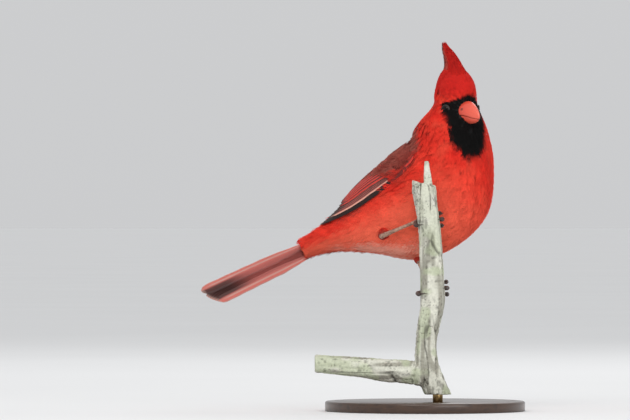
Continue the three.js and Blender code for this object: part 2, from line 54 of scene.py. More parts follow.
# Body stations from the tail's root to the crown: middle x, y, z; lean of the section; half-extents to the
# back, belly and side; roll of the back away from the viewer; fullness of the belly side
STATIONS = np.array([
    (-73, 0, 96.9, 27, 5, 4, 8.5, 35, 2),
    (-57, 0, 104.4, 27, 7.4, 9, 11, 34, 2),
    (-39, 0, 113, 28, 15.2, 22, 17, 32, 2),
    (-21, 0, 122, 29, 21, 39.6, 23.5, 32, 1.9),
    (-3, 0, 132, 34, 25.6, 44, 27, 32, 1.9),
    (12, 0, 143.5, 46, 28.6, 40.4, 27, 37, 1.9),
    (18.5, 0.6, 158, 63, 29.5, 27.4, 24.7, 46, 2),
    (18.7, 2.6, 171, 79, 21.6, 19.4, 20.7, 53, 2),
    (19.3, 1.9, 183, 88, 14.6, 13.4, 14.2, 58, 1.7),
    (19, 2.4, 190.5, 91, 13.2, 13.8, 12.9, 58, 1.7),
    (18.4, 3.4, 197, 94, 12, 14.2, 10.8, 58, 1.8),
    (17.2, 5.3, 202.5, 97, 9, 10.8, 7.8, 58, 2),
    (16, 7.2, 208, 99, 3.6, 4.4, 3.6, 58, 2),
])
CROWN_END = len(STATIONS) - 1
# Depth of the skin under the form at each station
COAT_DEPTH = [1.2, 1.5, 1.8, 1.9, 1.9, 1.8, 1.5, 1.4, 1.2, 1.1, 1, 1, 0.9]

HEAD = {"middle": (20.5, BODY_Y, 183.0), "yaw": 58.0, "pitch": 12.0}
EYE = {"forward": 3.2, "side": 9.8, "up": -1.0, "radius": 3.1}
BILL = {"root": 6.0, "tip": 24.0, "half": 7.2, "culmen": 8.7, "gonys": 7.5, "gape": -4.4, "point": -3.0}
# The nostril's middle: ahead of the skull's middle, to the side and up
NOSTRIL_PLACE = (11.4, 5.2, 0.5)
# The raised crest's outer form: height, middle x, and half-extents along the face's way and to the side
CREST_FORM = np.array([
    (190.0, 19.0, 13.4, 12.7),
    (192.6, 18.9, 13.5, 12.4),
    (196.2, 18.7, 12.6, 10.6),
    (199.8, 18.6, 11.0, 8.2),
    (203.4, 18.3, 9.2, 5.9),
    (207.0, 17.8, 7.5, 4.2),
    (210.6, 16.8, 6.3, 3.4),
    (214.2, 15.4, 5.1, 2.8),
    (217.8, 13.6, 3.6, 2.2),
    (221.4, 12.0, 1.0, 0.7),
])
# The point that the crown's feathers rise to, ahead, right and up of the skull's middle
CREST_PEAK = (-23.0, 0.0, 34.5)

# Folded wing: angles of its lower and upper edge at the body's stations; the stations its flesh runs between
WING_LOWER = [52, 71, 87, 91, 88, 76]
WING_UPPER = [8, 8, 8, 12, 20, 34]
WING_CORE = (2.05, 4.95)
# The primary that makes the wing's pale line, counted from the lowest
PALE_PRIMARY = 3

# The tail's tip; pairs of feathers; a feather's width; the step in height from pair to pair; how far the
# outermost feathers are from the middle at the tip and at the root; length added to the right outermost
# feather and taken from the left
TAIL = {
    "tip": (-132.0, BODY_Y + 17, 69.0), "pairs": 6, "width": 10.0, "pitch": 0.42,
    "spread": 8.2, "root_spread": 6.2, "slant": 3,
}

# Middle line and radius of the upright stem: x, z, radius
STEM = np.array([
    (7.2, 10.8, 8.2), (2.6, 22, 8.4), (0.3, 32, 7.2), (0, 42, 6.5), (2.4, 55, 6.9),
    (4.2, 70, 7.1), (3.2, 94, 6.7), (1.5, 115, 6.7), (-0.7, 131, 7.5), (-1.2, 136, 7.4),
])
TOE_RADIUS = 1.15
CLAW_RADIUS = 0.78
PALM_RADIUS = 1.9
ANKLE_RADIUS = 1.62
# Shares of the way down a shank and its radii there
SHANK_RADII = ([0, 0.2, 0.45, 0.75, 1], [1.5, 1.3, 0.95, 0.95, 1.35])
# Radii of a thigh from the ankle to the knee
THIGH_RADII = [1.9, 3.2, 4.6, 6.0, 6.4]
# Each leg: height of its foot and angle of its palm on the stem, and the places of its ankle and knee
LEGS = [
    {"name": "right", "foot": 114.5, "palm": 214, "ankle": (-26, -9.5, 105), "knee": (-19, 13, 112)},
    {"name": "left", "foot": 73.5, "palm": 190, "ankle": (-3.4, -1, 89.5), "knee": (-5, 14, 103)},
]
# Each toe: the angle where it ends on the stem, its rise over the palm, and the turn of its claw
TOES = [
    {"name": "hind", "end": 292, "rise": -3.0, "claw": 44},
    {"name": "inner", "end": 112, "rise": 4.2, "claw": -34},
    {"name": "middle", "end": 84, "rise": 0.6, "claw": -36},
    {"name": "outer", "end": 106, "rise": -3.2, "claw": -34},
]

# Colours, linear
RED = np.array((0.78, 0.022, 0.014))
ORANGE_RED = np.array((0.84, 0.058, 0.030))
CREST_RED = np.array((0.56, 0.014, 0.011))
# Painted light: the pale glow of light through the thin feathers at the crest's rim
CREST_RIM_LIGHT = np.array((0.85, 0.16, 0.12))
BACK_BROWN = np.array((0.20, 0.040, 0.030))
FRINGE = np.array((0.34, 0.10, 0.075))
BLACK = np.array((0.0022, 0.002, 0.002))
PALE = np.array((0.88, 0.42, 0.32))
# Pale fluff of the lower belly, made lighter still as painted light on the shaded underside
FLUFF_AND_PAINTED_LIGHT = np.array((1.0, 0.42, 0.32))
DUSKY = np.array((0.032, 0.013, 0.011))
ROSE = np.array((0.62, 0.15, 0.125))
WING_RED = np.array((0.66, 0.040, 0.026))
SHAFT = np.array((0.78, 0.50, 0.42))
BILL_DEEP = np.array((0.72, 0.070, 0.040))
BILL_LIGHT = np.array((0.84, 0.14, 0.085))
# Painted shade along the mouth line of the bill
BILL_SEAM_SHADE = np.array((0.45, 0.06, 0.035))
# Painted shade in the hollow of each nostril
NOSTRIL = np.array((0.12, 0.02, 0.015))
IRIS = np.array((0.035, 0.014, 0.008))
PUPIL = np.array((0.003, 0.002, 0.002))
LID_GREY = np.array((0.02, 0.015, 0.014))
WOOD_PALE = np.array((0.66, 0.66, 0.57))
WOOD_GREY = np.array((0.27, 0.26, 0.21))
LICHEN = np.array((0.46, 0.52, 0.34))
CRACK = np.array((0.035, 0.03, 0.022))

# Places and colours of colour ramps
STAIN_STOPS = [(0.3, (0.030, 0.014, 0.008)), (0.5, (0.062, 0.030, 0.016)), (0.7, (0.038, 0.018, 0.010))]
BRASS_STOPS = [(0.3, (0.52, 0.36, 0.15)), (0.7, (0.66, 0.47, 0.21))]
SHANK_STOPS = [(0.3, (0.17, 0.09, 0.065)), (0.55, (0.36, 0.21, 0.15)), (0.8, (0.54, 0.35, 0.26))]
TOE_STOPS = [(0.3, (0.03, 0.02, 0.017)), (0.55, (0.09, 0.055, 0.045)), (0.8, (0.20, 0.13, 0.10))]
CLAW_STOPS = [(0.3, (0.02, 0.013, 0.011)), (0.7, (0.06, 0.04, 0.03))]
FLOOR_STOPS = [(0.3, (0.78, 0.785, 0.79)), (0.7, (0.80, 0.805, 0.81))]
SKY_STOPS = [(0.0, (0.60, 0.605, 0.615)), (1.0, (0.84, 0.845, 0.85))]

# Limits of the black mask at heights over the base: height, left edge, right edge of the head's middle
MASK = np.array([
    (149.4, 6.6, 6.6), (151.0, 2.6, 10.8), (153.5, -1.6, 13.9), (156.4, -5.6, 16.0), (160, -8.0, 17.0),
    (165, -10.2, 16.6), (170, -12.0, 15.4), (175, -14.0, 14.8), (180, -14.4, 14.9), (183, -13.2, 14.3),
    (185, -11.4, 12.8), (186.6, -9.6, 9.0), (189, -7.2, 3.0), (190.0, -3.4, -0.6), (190.8, -2.2, -2.2),
])
# How far the brown of the back comes round the side at the body's stations 0, 1, 2, ...
BACK_LIMIT = [34, 46, 62, 76, 84, 72, 36, 0, 0, 0, 0, 0, 0]
# Millimetres to a station and to a degree on the body's side
SIDE_SCALE = np.array((17, 0.42))

# Rows and sides of the skin's parts; steps in which a feather follows the flow; most triangles in a piece of
# the coat; thickness of a vane
SKIN_GRID = (221, 144)
THIGH_SIDES = 20
CREST_GRID = (24, 32)
TRAIL_STEPS = 4
PIECE_LIMIT = 190000
VANE_THICKNESS = 0.22
# Share of a large feather's width that its outer web has
OUTER_WEB = 0.36
# Slant of the barbs of a vane against its shaft, and the spacing between them
BARB_SLANT = 1.1
BARB_SPACING = 0.42

# Studio lights: name, place, size, power, colour; lengths in metres
LIGHTS = [
    ("key", (-0.4, -1.5, 1.4), 1.0, 12.0, (1, 0.98, 0.95)),
    ("fill", (0.9, -1.6, 0.06), 1.2, 14.0, (1, 0.98, 0.97)),
    ("rim", (0.3, 1.2, 1.2), 0.9, 5.0, (1, 1, 1)),
]
# The camera's place, its distance from the model's axis and the width it shows there, in metres
CAMERA = {"x": -0.066, "height": 0.1206, "distance": 4.0, "across": 0.378}
SENSOR_WIDTH = 36.0

rng = np.random.default_rng(SEED)
scene = bpy.context.scene


# Small vector helpers

def unit(v):
    """Rows of v made one long."""
    return v / np.maximum(np.linalg.norm(v, axis=-1, keepdims=True), 1e-9)


def mix(a, b, t):
    return a + (b - a) * t


def smooth(low, high, x):
    """0 under low, 1 over high and a smooth step between."""
    t = np.clip((x - low) / (high - low), 0, 1)
    return t * t * (3 - 2 * t)


def blend(colours, other, share):
    """Rows of colours mixed with other, by a share for each row."""
    return mix(colours, other, share[:, None])


def from_back(angle):
    """Degrees from the back to an angle, on whichever side it is."""
    return np.abs((np.asarray(angle) + 180) % 360 - 180)


def turns(count):
    """Angles in radians of points spread round a ring."""
    return np.arange(count) * 2 * math.pi / count


def grid(down, across):
    """Both lists' values at each point of a grid, row by row."""
    return np.repeat(down, len(across)), np.tile(across, len(down))


def along(values, k):
    """Value at place k of a list whose entries stand at 0, 1, 2, ..., joined smoothly."""
    values = np.asarray(values, float)
    k = np.asarray(k, float)
    i = np.minimum(np.floor(np.maximum(k, 0)).astype(int), len(values) - 2)
    t = k - i
    if values.ndim > 1:
        t = t[..., None]
    a, b, c, d = (values[np.clip(i + j, 0, len(values) - 1)] for j in (-1, 0, 1, 2))
    return b + 0.5 * t * (c - a + t * (2 * a - 5 * b + 4 * c - d + t * (3 * (b - c) + d - a)))


def lattice(cell, seed):
    """A random value from 0 to 1 for each whole-number cell."""
    n = cell[..., 0] * 374761393 + cell[..., 1] * 668265263 + cell[..., 2] * 2147483647 + seed * 974634777
    n = (n ^ (n >> 13)) * 1274126177
    return ((n ^ (n >> 16)) & 0xFFFFFF) / 0xFFFFFF


def noise(points, size, seed=0):
    """Smooth noise from 0 to 1 at points, with lumps of that size (one number or one for each axis)."""
    p = points / np.asarray(size, float)
    base = np.floor(p).astype(np.int64)
    f = p - base
    f = f * f * (3 - 2 * f)
    total = np.zeros(len(p))
    for corner in range(8):
        bits = np.array([(corner >> axis) & 1 for axis in range(3)])
        weight = np.prod(np.where(bits, f, 1 - f), axis=1)
        total += weight * lattice(base + bits, seed)
    return total


# The body's form

def section(k):
    """Middle, back and right vectors, and sizes, of the body's section at stations k."""
    row = along(STATIONS, k)
    lean, roll = np.radians(row[..., 3]), np.radians(row[..., 7])
    zero = np.zeros_like(lean)
    ahead = np.stack([np.cos(lean), zero, np.sin(lean)], -1)
    upward = np.stack([-np.sin(lean), zero, np.cos(lean)], -1)
    away = np.array((0.0, 1.0, 0.0))
    back = upward * np.cos(roll)[..., None] + away * np.sin(roll)[..., None]
    middle = row[..., :3] + away * BODY_Y
    return middle, back, np.cross(ahead, back), row


def on_form(k, angle, lift=0.0):
    """Points of the form at stations k and at angle degrees from the back to the right, raised by lift."""
    middle, back, right, row = section(k)
    c, s = np.cos(np.radians(angle)), np.sin(np.radians(angle))
    power = np.where(c < 0, row[..., 8], 2)
    half = np.where(c < 0, row[..., 5], row[..., 4])
    side = row[..., 6]
    reach = (np.abs(c / half) ** power + np.abs(s / side) ** power) ** (-1 / power) + lift
    return middle + back * (c * reach)[..., None] + right * (s * reach)[..., None]


def form_frame(k, angle):
    """Change of the form's points for a station and for a degree, and the way out."""
    per_k = (on_form(k + 0.03, angle) - on_form(k - 0.03, angle)) / 0.06
    per_angle = (on_form(k, angle + 1) - on_form(k, angle - 1)) / 2
    out = unit(np.cross(per_k, per_angle))
    outward = np.sum(out * (on_form(k, angle) - section(k)[0]), -1, keepdims=True)
    return per_k, per_angle, np.where(outward < 0, -out, out)


# The head's own axes

def head_axes():
    yaw, pitch = math.radians(HEAD["yaw"]), math.radians(HEAD["pitch"])
    face = np.array((math.cos(yaw) * math.cos(pitch), -math.sin(yaw) * math.cos(pitch), -math.sin(pitch)))
    right = unit(np.cross(face, (0, 0, 1)))
    return face, right, np.cross(right, face)


FACE_WAY, HEAD_RIGHT, HEAD_UP = head_axes()
HEAD_MIDDLE = np.array(HEAD["middle"])
UPWARD = np.array((0, 0, 1.0))


def at_head(forward, right, up):
    """A point of the head, given ahead of the skull's middle, to its right, and above it."""
    forward, right, up = np.broadcast_arrays(*(np.asarray(v, float)[..., None] for v in (forward, right, up)))
    return HEAD_MIDDLE + FACE_WAY * forward + HEAD_RIGHT * right + HEAD_UP * up


def in_head(points):
    """Ahead, right and up of the skull's middle for points."""
    away = points - HEAD_MIDDLE
    return away @ FACE_WAY, away @ HEAD_RIGHT, away @ HEAD_UP


# Meshes and materials

def new_mesh(name, points, faces, slot, node=None):
    """A piece of the model from points in millimetres. It rides on the model's one body."""
    mesh = bpy.data.meshes.new(name)
    mesh.from_pydata((np.asarray(points) * MM).tolist(), [], [list(map(int, f)) for f in faces])
    return finish_mesh(name, mesh, slot, node)


def new_triangles(name, points, triangles, slot):
    """As new_mesh, from large arrays of triangles."""
    mesh = bpy.data.meshes.new(name)
    mesh.vertices.add(len(points))
    mesh.vertices.foreach_set("co", (points * MM).astype(np.float32).ravel())
    mesh.loops.add(triangles.size)
    mesh.loops.foreach_set("vertex_index", triangles.astype(np.int32).ravel())
    mesh.polygons.add(len(triangles))
    mesh.polygons.foreach_set("loop_start", np.arange(0, triangles.size, 3, dtype=np.int32))
    mesh.update(calc_edges=True)
    return finish_mesh(name, mesh, slot, None)


def finish_mesh(name, mesh, slot, node):
    mesh.validate()
    mesh.polygons.foreach_set("use_smooth", np.ones(len(mesh.polygons), bool))
    piece = bpy.data.objects.new(name, mesh)
    scene.collection.objects.link(piece)
    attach(piece, "root")
    if node:
        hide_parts(*([node] if isinstance(node, str) else node))
    return piece


def set_colours(piece, colours):
    """A colour for each point, which the materials read as Tint."""
    rgba = np.ones((len(colours), 4), np.float32)
    rgba[:, :3] = np.clip(colours, 0, 1)
    attribute = piece.data.attributes.new("Tint", "FLOAT_COLOR", "POINT")
    attribute.data.foreach_set("color", rgba.ravel())


def set_uv(piece, uv):
    """The bake map, from a place for each point."""
    index = np.empty(len(piece.data.loops), np.int32)
    piece.data.loops.foreach_get("vertex_index", index)
    layer = piece.data.uv_layers.new(name="OFBake")
    layer.data.foreach_set("uv", np.asarray(uv, np.float32)[index].ravel())


def dress(piece, look, colours=None, uv=None, normals=None):
    """Gives a piece its material, and a colour, a place on the bake map and a normal for each point."""
    if colours is not None:
        set_colours(piece, colours)
    if uv is not None:
        set_uv(piece, uv)
    if normals is not None:
        piece.data.normals_split_custom_set_from_vertices(unit(normals).tolist())
    piece.data.materials.append(look)


def material(name, roughness, **sockets):
    """A new material, its node tree and its shader; sockets are numbers for the shader's own inputs."""
    made = bpy.data.materials.new(name)
    made.use_nodes = True
    shader = made.node_tree.nodes["Principled BSDF"]
    shader.inputs["Roughness"].default_value = roughness
    for key, value in sockets.items():
        shader.inputs[key.replace("_", " ")].default_value = value
    return made, made.node_tree, shader


def node(tree, kind, **values):
    """A shader node; values are its own settings, or the numbers of its inputs by name."""
    made = tree.nodes.new(kind)
    for key, value in values.items():
        if hasattr(made, key):
            setattr(made, key, value)
        else:
            made.inputs[key.replace("_", " ")].default_value = value
    return made


def maths(tree, operation, *values):
    """A maths node's result; each value is a number or another node's result."""
    made = node(tree, "ShaderNodeMath", operation=operation)
    for socket, value in zip(made.inputs, values):
        if isinstance(value, float):
            socket.default_value = value
        else:
            tree.links.new(value, socket)
    return made.outputs[0]


def noise_node(tree, scale, detail=4.0, stretch=(1, 1, 1)):
    """Noise over the object's own coordinates, stretched by a scale for each axis."""
    coords = node(tree, "ShaderNodeTexCoord")
    mapping = node(tree, "ShaderNodeMapping", Scale=stretch)
    made = node(tree, "ShaderNodeTexNoise", Scale=scale, Detail=detail)
    tree.links.new(coords.outputs["Object"], mapping.inputs["Vector"])
    tree.links.new(mapping.outputs["Vector"], made.inputs["Vector"])
    return made


def bump(tree, shader, height, distance, strength=1.0):
    made = node(tree, "ShaderNodeBump", Strength=strength, Distance=distance)
    tree.links.new(height, made.inputs["Height"])
    tree.links.new(made.outputs["Normal"], shader.inputs["Normal"])


def tint_by(tree, shader, level, limits, depth):
    """The points' own colour, from darker to lighter by depth as the level goes from limit to limit."""
    tint = node(tree, "ShaderNodeAttribute", attribute_name="Tint")
    share = node(tree, "ShaderNodeMapRange", From_Min=limits[0], From_Max=limits[1])
    share.inputs["To Min"].default_value = 1 - depth
    share.inputs["To Max"].default_value = 1 + depth
    product = node(tree, "ShaderNodeVectorMath", operation="SCALE")
    tree.links.new(level, share.inputs["Value"])
    tree.links.new(tint.outputs["Color"], product.inputs[0])
    tree.links.new(share.outputs["Result"], product.inputs["Scale"])
    tree.links.new(product.outputs["Vector"], shader.inputs["Base Color"])


def tinted_material(name, roughness, grain_size, grain_depth, bump_depth=0.0, **sockets):
    """The points' own colour, made lighter and darker by fine noise."""
    made, tree, shader = material(name, roughness, **sockets)
    grain = noise_node(tree, grain_size).outputs["Fac"]
    tint_by(tree, shader, grain, (0.0, 1.0), grain_depth)
    if bump_depth:
        bump(tree, shader, grain, bump_depth)
    return made


def ramp_node(tree, stops):
    """A colour ramp with (place, colour) stops."""
    ramp = node(tree, "ShaderNodeValToRGB")
    while len(ramp.color_ramp.elements) < len(stops):
        ramp.color_ramp.elements.new(0.5)
    for element, (place, colour) in zip(ramp.color_ramp.elements, stops):
        element.position = place
        element.color = (*colour, 1)
    return ramp


def ramp_material(name, roughness, scale, stops, stretch=(1, 1, 1), bump_depth=0.0, **sockets):
    """Noise run through a colour ramp."""
    made, tree, shader = material(name, roughness, **sockets)
    grain = noise_node(tree, scale, 6.0, stretch).outputs["Fac"]
    ramp = ramp_node(tree, stops)
    tree.links.new(grain, ramp.inputs["Fac"])
    tree.links.new(ramp.outputs["Color"], shader.inputs["Base Color"])
    if bump_depth:
        bump(tree, shader, grain, bump_depth)
    return made


# Faces over grids of points

def grid_faces(rows, columns, closed=False, ring=False):
    """Faces over a grid, row by row. closed joins the last column to the first, and ring the last row to the
    first."""
    i, j = grid(np.arange(rows - (not ring)), np.arange(columns - (not closed)))
    low, high, turn = i * columns, (i + 1) % rows * columns, (j + 1) % columns
    return np.stack([low + j, low + turn, high + turn, high + j], -1).tolist()


def capped_faces(rows, sides):
    """Faces of a closed body of rings, whose first and last middle points follow the rings' points."""
    total, end = rows * sides, (rows - 1) * sides
    faces = grid_faces(rows, sides, True)
    faces += [(total, (j + 1) % sides, j) for j in range(sides)]
    return faces + [(total + 1, end + j, end + (j + 1) % sides) for j in range(sides)]


def sheet_faces(rows, columns):
    """Faces of a closed sheet: the grid of its top, the grid of its underside, and the rim between them."""
    size = rows * columns
    upper = grid_faces(rows, columns)
    rim = [i * columns for i in range(rows)] + [size - columns + j for j in range(1, columns)]
    rim += [i * columns + columns - 1 for i in range(rows - 2, -1, -1)] + list(range(columns - 2, 0, -1))
    lower = [[size + i for i in reversed(face)] for face in upper]
    return upper + lower + [(a, b, b + size, a + size) for a, b in zip(rim, rim[1:] + rim[:1])]


def with_middles(points, sides):
    """The points of a body of rings, followed by the middles of its first and last ring."""
    return np.concatenate([points, points[:sides].mean(0)[None], points[-sides:].mean(0)[None]])


def join_arrays(parts):
    """Several (points, faces) joined."""
    points, faces, base = [], [], 0
    for p, f in parts:
        points.append(p)
        faces += [[int(i) + base for i in face] for face in f]
        base += len(p)
    return np.concatenate(points), faces


# Markings

def mask_share(points):
    """1 inside the black mask round the bill and on the throat, 0 outside it."""
    forward, right, _ = in_head(points)
    left_edge, right_edge = (np.interp(points[:, 2], MASK[:, 0], MASK[:, column]) for column in (1, 2))
    ragged = 1.5 * (noise(points, 1.6, 5) - 0.5) + 0.8 * (noise(points, 4.0, 6) - 0.5)
    edge = np.minimum(right - left_edge, right_edge - right) + ragged
    inside = (points[:, 2] > MASK[0, 0] - 1) & (points[:, 2] < MASK[-1, 0])
    return smooth(-0.55, 0.55, edge) * smooth(-3.0, -1.2, forward) * inside


def near_line(k, angle, first, last, width):
    """How near (1 on it, 0 far off) places are to a line between two (station, angle) ends."""
    first, last = np.array(first) * SIDE_SCALE, np.array(last) * SIDE_SCALE
    spot = np.stack([k, angle], -1) * SIDE_SCALE - first
    way = last - first
    t = np.clip(spot @ way / (way @ way), 0, 1)
    return np.exp(-(np.linalg.norm(spot - t[:, None] * way, axis=-1) / width) ** 2)


def markings(points, k, angle):
    """Colour of the plumage at points of the form with those stations and angles."""
    side = from_back(angle)
    blotch = noise(points, 9.0, 3)
    fine = noise(points, 2.2, 5)
    colour = blend(RED, ORANGE_RED, 0.65 * blotch)
    # Paler orange on the lower breast and belly: partly its own colour and partly painted light that makes up
    # for the shade on the downward-facing underside.
    belly = smooth(5.7, 3.6, k) * smooth(98, 145, side)
    colour = blend(colour, ORANGE_RED * (1.12, 2.5, 2.7), 0.95 * belly)
    streak = smooth(0.6, 0.85, noise(points, (9.0, 3.0, 3.0), 14)) * smooth(60, 100, side)
    colour = blend(colour, ORANGE_RED * (1.05, 2.0, 2.1), 0.3 * streak)
    colour = blend(colour, CREST_RED, 0.9 * smooth(8.2, 9.6, k))
    limit = along(BACK_LIMIT, np.clip(k, 0, CROWN_END)) + 10 * (blotch - 0.5)
    back = smooth(limit + 4, limit - 7, side) * smooth(6.9, 6.0, k)
    colour = blend(colour, blend(BACK_BROWN, FRINGE, smooth(0.3, 0.75, fine)), 0.92 * back)
    spots = smooth(0.66, 0.78, noise(points, 3.0, 12)) * smooth(54, 40, side)
    spots = spots * smooth(3.0, 3.6, k) * smooth(5.5, 4.9, k)
    colour = blend(colour, DUSKY, 0.8 * back * spots)
    nape = smooth(5.4, 6.2, k) * smooth(7.8, 6.6, k) * smooth(60, 25, side)
    colour = blend(colour, FRINGE, 0.45 * nape)
    # A painted shade line in the gap between the shoulder feathers and the wing's coverts.
    colour = blend(colour, DUSKY, 0.85 * near_line(k, side, (4.25, 84), (3.33, 77), 0.9))
    colour = blend(colour, DUSKY * 2, 0.7 * near_line(k, side, (3.62, 89), (3.45, 88), 2.2))
    # A brownish patch under the folded wing's lower edge: partly the flank's own brown and partly painted
    # shade under the wing.
    colour = blend(colour, BACK_BROWN * 1.2, 0.6 * near_line(k, side, (2.1, 94), (1.5, 88), 3.0))
    # Pale fluff at the bottom of the belly: partly its own colour and partly painted light on the shaded
    # underside.
    fluff_and_painted_light = smooth(3.6, 3.0, k) * smooth(0.6, 1.2, k) * smooth(158, 170, side) * smooth(0.2, 0.5, fine)
    colour = blend(colour, FLUFF_AND_PAINTED_LIGHT, 0.8 * fluff_and_painted_light)
    return blend(colour, BLACK, mask_share(points))


# Body feathers

def feather_template(barbs, spread, barb_width, loose):
    """One small feather of spikes set along both sides of its shaft: places (along, across, up) of points,
    triangles, and how far each point is out along its spike."""
    points, triangles, reach = [], [], []
    for side in (-1, 1):
        for i in range(barbs):
            start = 0.08 + 0.74 * (i + (0.5 if side > 0 else 0)) / barbs
            out = spread * math.sin(math.pi * min(1, 0.25 + 0.62 * start)) ** 0.8
            end = (min(1.0, start + 0.34 + 0.06 * math.sin(5.1 * i + side)), side * out)
            bent = (mix(start, end[0], 0.42), side * out * 0.62)
            spike(points, triangles, reach, (start, 0.0), bent, end, barb_width, loose * (i % 3 - 1))
    spike(points, triangles, reach, (0.0, 0.0), (0.6, 0.0), (1.0, 0.0), barb_width * 1.3, 0)
    return np.array(points), np.array(triangles)[:, ::-1], np.array(reach)


def spike(points, triangles, reach, start, bent, end, width, up):
    """A three-sided spike from start over bent to end, added to the lists."""
    first = len(points)
    way = np.array(end) - np.array(start)
    normal = np.array((-way[1], way[0])) / max(np.linalg.norm(way), 1e-6)
    for spot, half, rise, far in ((start, 0.35, 0.0, 0.0), (bent, 0.5, up * 0.6, 0.55)):
        for across, high in ((-1, 0.0), (1, 0.0), (0, 0.7)):
            place = np.array(spot) + normal * across * half * width
            points.append((place[0], place[1], rise + high * half * width))
            reach.append(far)
    points.append((end[0], end[1], up))
    reach.append(1.0)
    for a in range(3):
        b = (a + 1) % 3
        triangles.append((first + a, first + b, first + 3 + b))
        triangles.append((first + a, first + 3 + b, first + 3 + a))
        triangles.append((first + 3 + a, first + 3 + b, first + 6))
    triangles.append((first + 2, first + 1, first))


def flow(points, k, angle):
    """The way feathers lie at points of the form: tailward, but away from the bill on the face and up on the
    crown."""
    per_k, _, out = form_frame(k, angle)
    from_bill = points - at_head(11.0, 0.0, 1.0)
    forward, _, up = in_head(points)
    face = smooth(24, 9, np.linalg.norm(from_bill, axis=-1)) * smooth(-7, 2, forward)
    way = blend(-unit(per_k), unit(from_bill), face)
    crown = smooth(4.5, 9.5, up) * smooth(-10, -4, forward)
    way = blend(way, unit(at_head(*CREST_PEAK) - points), crown)
    return unit(way - out * np.sum(way * out, -1, keepdims=True))


def steps_for(way, k, angle):
    """Change of station and angle for a millimetre along way."""
    per_k, per_angle, _ = form_frame(k, angle)
    a, b, c = (np.sum(u * v, -1) for u, v in ((per_k, per_k), (per_k, per_angle), (per_angle, per_angle)))
    p, q = np.sum(way * per_k, -1), np.sum(way * per_angle, -1)
    determinant = np.maximum(a * c - b * b, 1e-9)
    return (p * c - q * b) / determinant, (q * a - p * b) / determinant


def scatter(spacing, k_range, keep, tries=60000):
    """Stations and angles of roots spread over the form, spacing apart (a function of station and angle)."""
    k = rng.uniform(*k_range, tries)
    angle = rng.uniform(-180, 180, tries)
    per_k, per_angle, _ = form_frame(k, angle)
    area = np.linalg.norm(np.cross(per_k, per_angle), axis=-1)
    chosen = rng.uniform(0, 1, tries) < area / np.quantile(area, 0.98)
    k, angle = k[chosen], angle[chosen]
    points = on_form(k, angle)
    gap = spacing(k, angle)
    kept = keep(points, k, angle)
    tree = kdtree.KDTree(len(points))
    for i, p in enumerate(points):
        tree.insert(p, i)
    tree.balance()
    state = np.where(kept, 0, 2)
    for i in range(len(points)):
        if state[i]:
            continue
        state[i] = 1
        for _, j, _ in tree.find_range(points[i], gap[i]):
            if j != i and state[j] == 0:
                state[j] = 2
    picked = state == 1
    return k[picked], angle[picked]


def trails(k, angle, length):
    """Stations and angles of roots, middles and tips of feathers that follow the flow from their roots."""
    turn = rng.normal(0, 0.09, len(k))
    places = [(k, angle)]
    for _ in range(TRAIL_STEPS):
        held = np.maximum(k, 0.2)
        way = flow(on_form(held, angle), held, angle)
        out = form_frame(held, angle)[2]
        way = unit(way + np.cross(out, way) * turn[:, None])
        dk, da = steps_for(way, held, angle)
        k, angle = k + dk * length / TRAIL_STEPS, angle + da * length / TRAIL_STEPS
        places.append((k, angle))
    return places[0], places[TRAIL_STEPS // 2], places[-1]


def bent_lines(spots, u):
    """Points at shares u along curves that each run from a root over a middle to a tip."""
    root, middle, tip = (spot[:, None] for spot in spots)
    middle = 2 * middle - (root + tip) / 2
    return root * (1 - u) ** 2 + 2 * middle * u * (1 - u) + tip * u * u


def feather_piece(name, template, points, colours, shade, spots):
    """Many small feathers as one mesh, with a row of each array for each. spots are the places of their roots
    on the bake map."""
    shape, triangles, _ = template
    index = triangles[None] + (np.arange(len(points)) * len(shape))[:, None, None]
    uv = spots[:, None] + 0.003 * (shape[:, (1, 0)] * (0.5, 1) - (0, 0.5))
    piece = new_triangles(name, points.reshape(-1, 3), index.reshape(-1, 3), "plumage")
    dress(piece, COAT, colours.reshape(-1, 3), uv.reshape(-1, 2), shade.reshape(-1, 3))


def lay_feathers(name, template, k, angle, length, width, depth, raise_tip):
    """Joins one feather for each root into pieces of the coat. depth is how deep the root is under the form,
    and raise_tip how high the tip stands over it."""
    shape, triangles, reach = template
    places = trails(k, angle, length)
    tip_k, tip_angle = places[2]
    out, out_end = form_frame(k, angle)[2], form_frame(np.maximum(tip_k, 0.1), tip_angle)[2]
    lifts = (-depth, -depth * 0.33 + raise_tip * 0.5, raise_tip)
    spots = [on_form(*place, lift) for place, lift in zip(places, lifts)]
    across = unit(np.cross(spots[2] - spots[0], out))[:, None]
    u, x, h = (column[None, :, None] for column in shape.T)
    w = width[:, None, None]
    up = unit(mix(out[:, None], out_end[:, None], u))
    points = bent_lines(spots, u) + across * (x * w) + up * (h * w - 0.10 * w * x * x)
    shade = up + across * x * 0.22 + unit(spots[2] - spots[0])[:, None] * 0.15 * (u - 0.3)
    middle_colours, tip_colours = (markings(on_form(*place), *place)[:, None] for place in places[1:])
    # Darker towards each feather's root: partly its greyer base and partly painted shade where the feathers
    # overlap.
    dark = 0.86 + 0.14 * smooth(0.05, 0.6, shape[:, 0] + 0.25 * reach)
    colours = mix(middle_colours, tip_colours, smooth(0.4, 1.0, u)) * dark[None, :, None]
    colours = colours * rng.normal(1, 0.07, (len(k), 1, 1))
    roots = skin_uv(k, angle)
    limit = PIECE_LIMIT // len(triangles)
    for number, start in enumerate(range(0, len(k), limit), 1):
        part = slice(start, start + limit)
        feather_piece(f"{name}_{number}", template, points[part], colours[part], shade[part], roots[part])


# The skin under the coat

def skin_uv(k, angle):
    """Place on the bake map of the body's skin at stations k and angles."""
    height = np.clip(k, 0, CROWN_END) / CROWN_END
    return np.stack([0.005 + 0.89 * (angle % 360) / 360, 0.01 + 0.98 * height], -1)


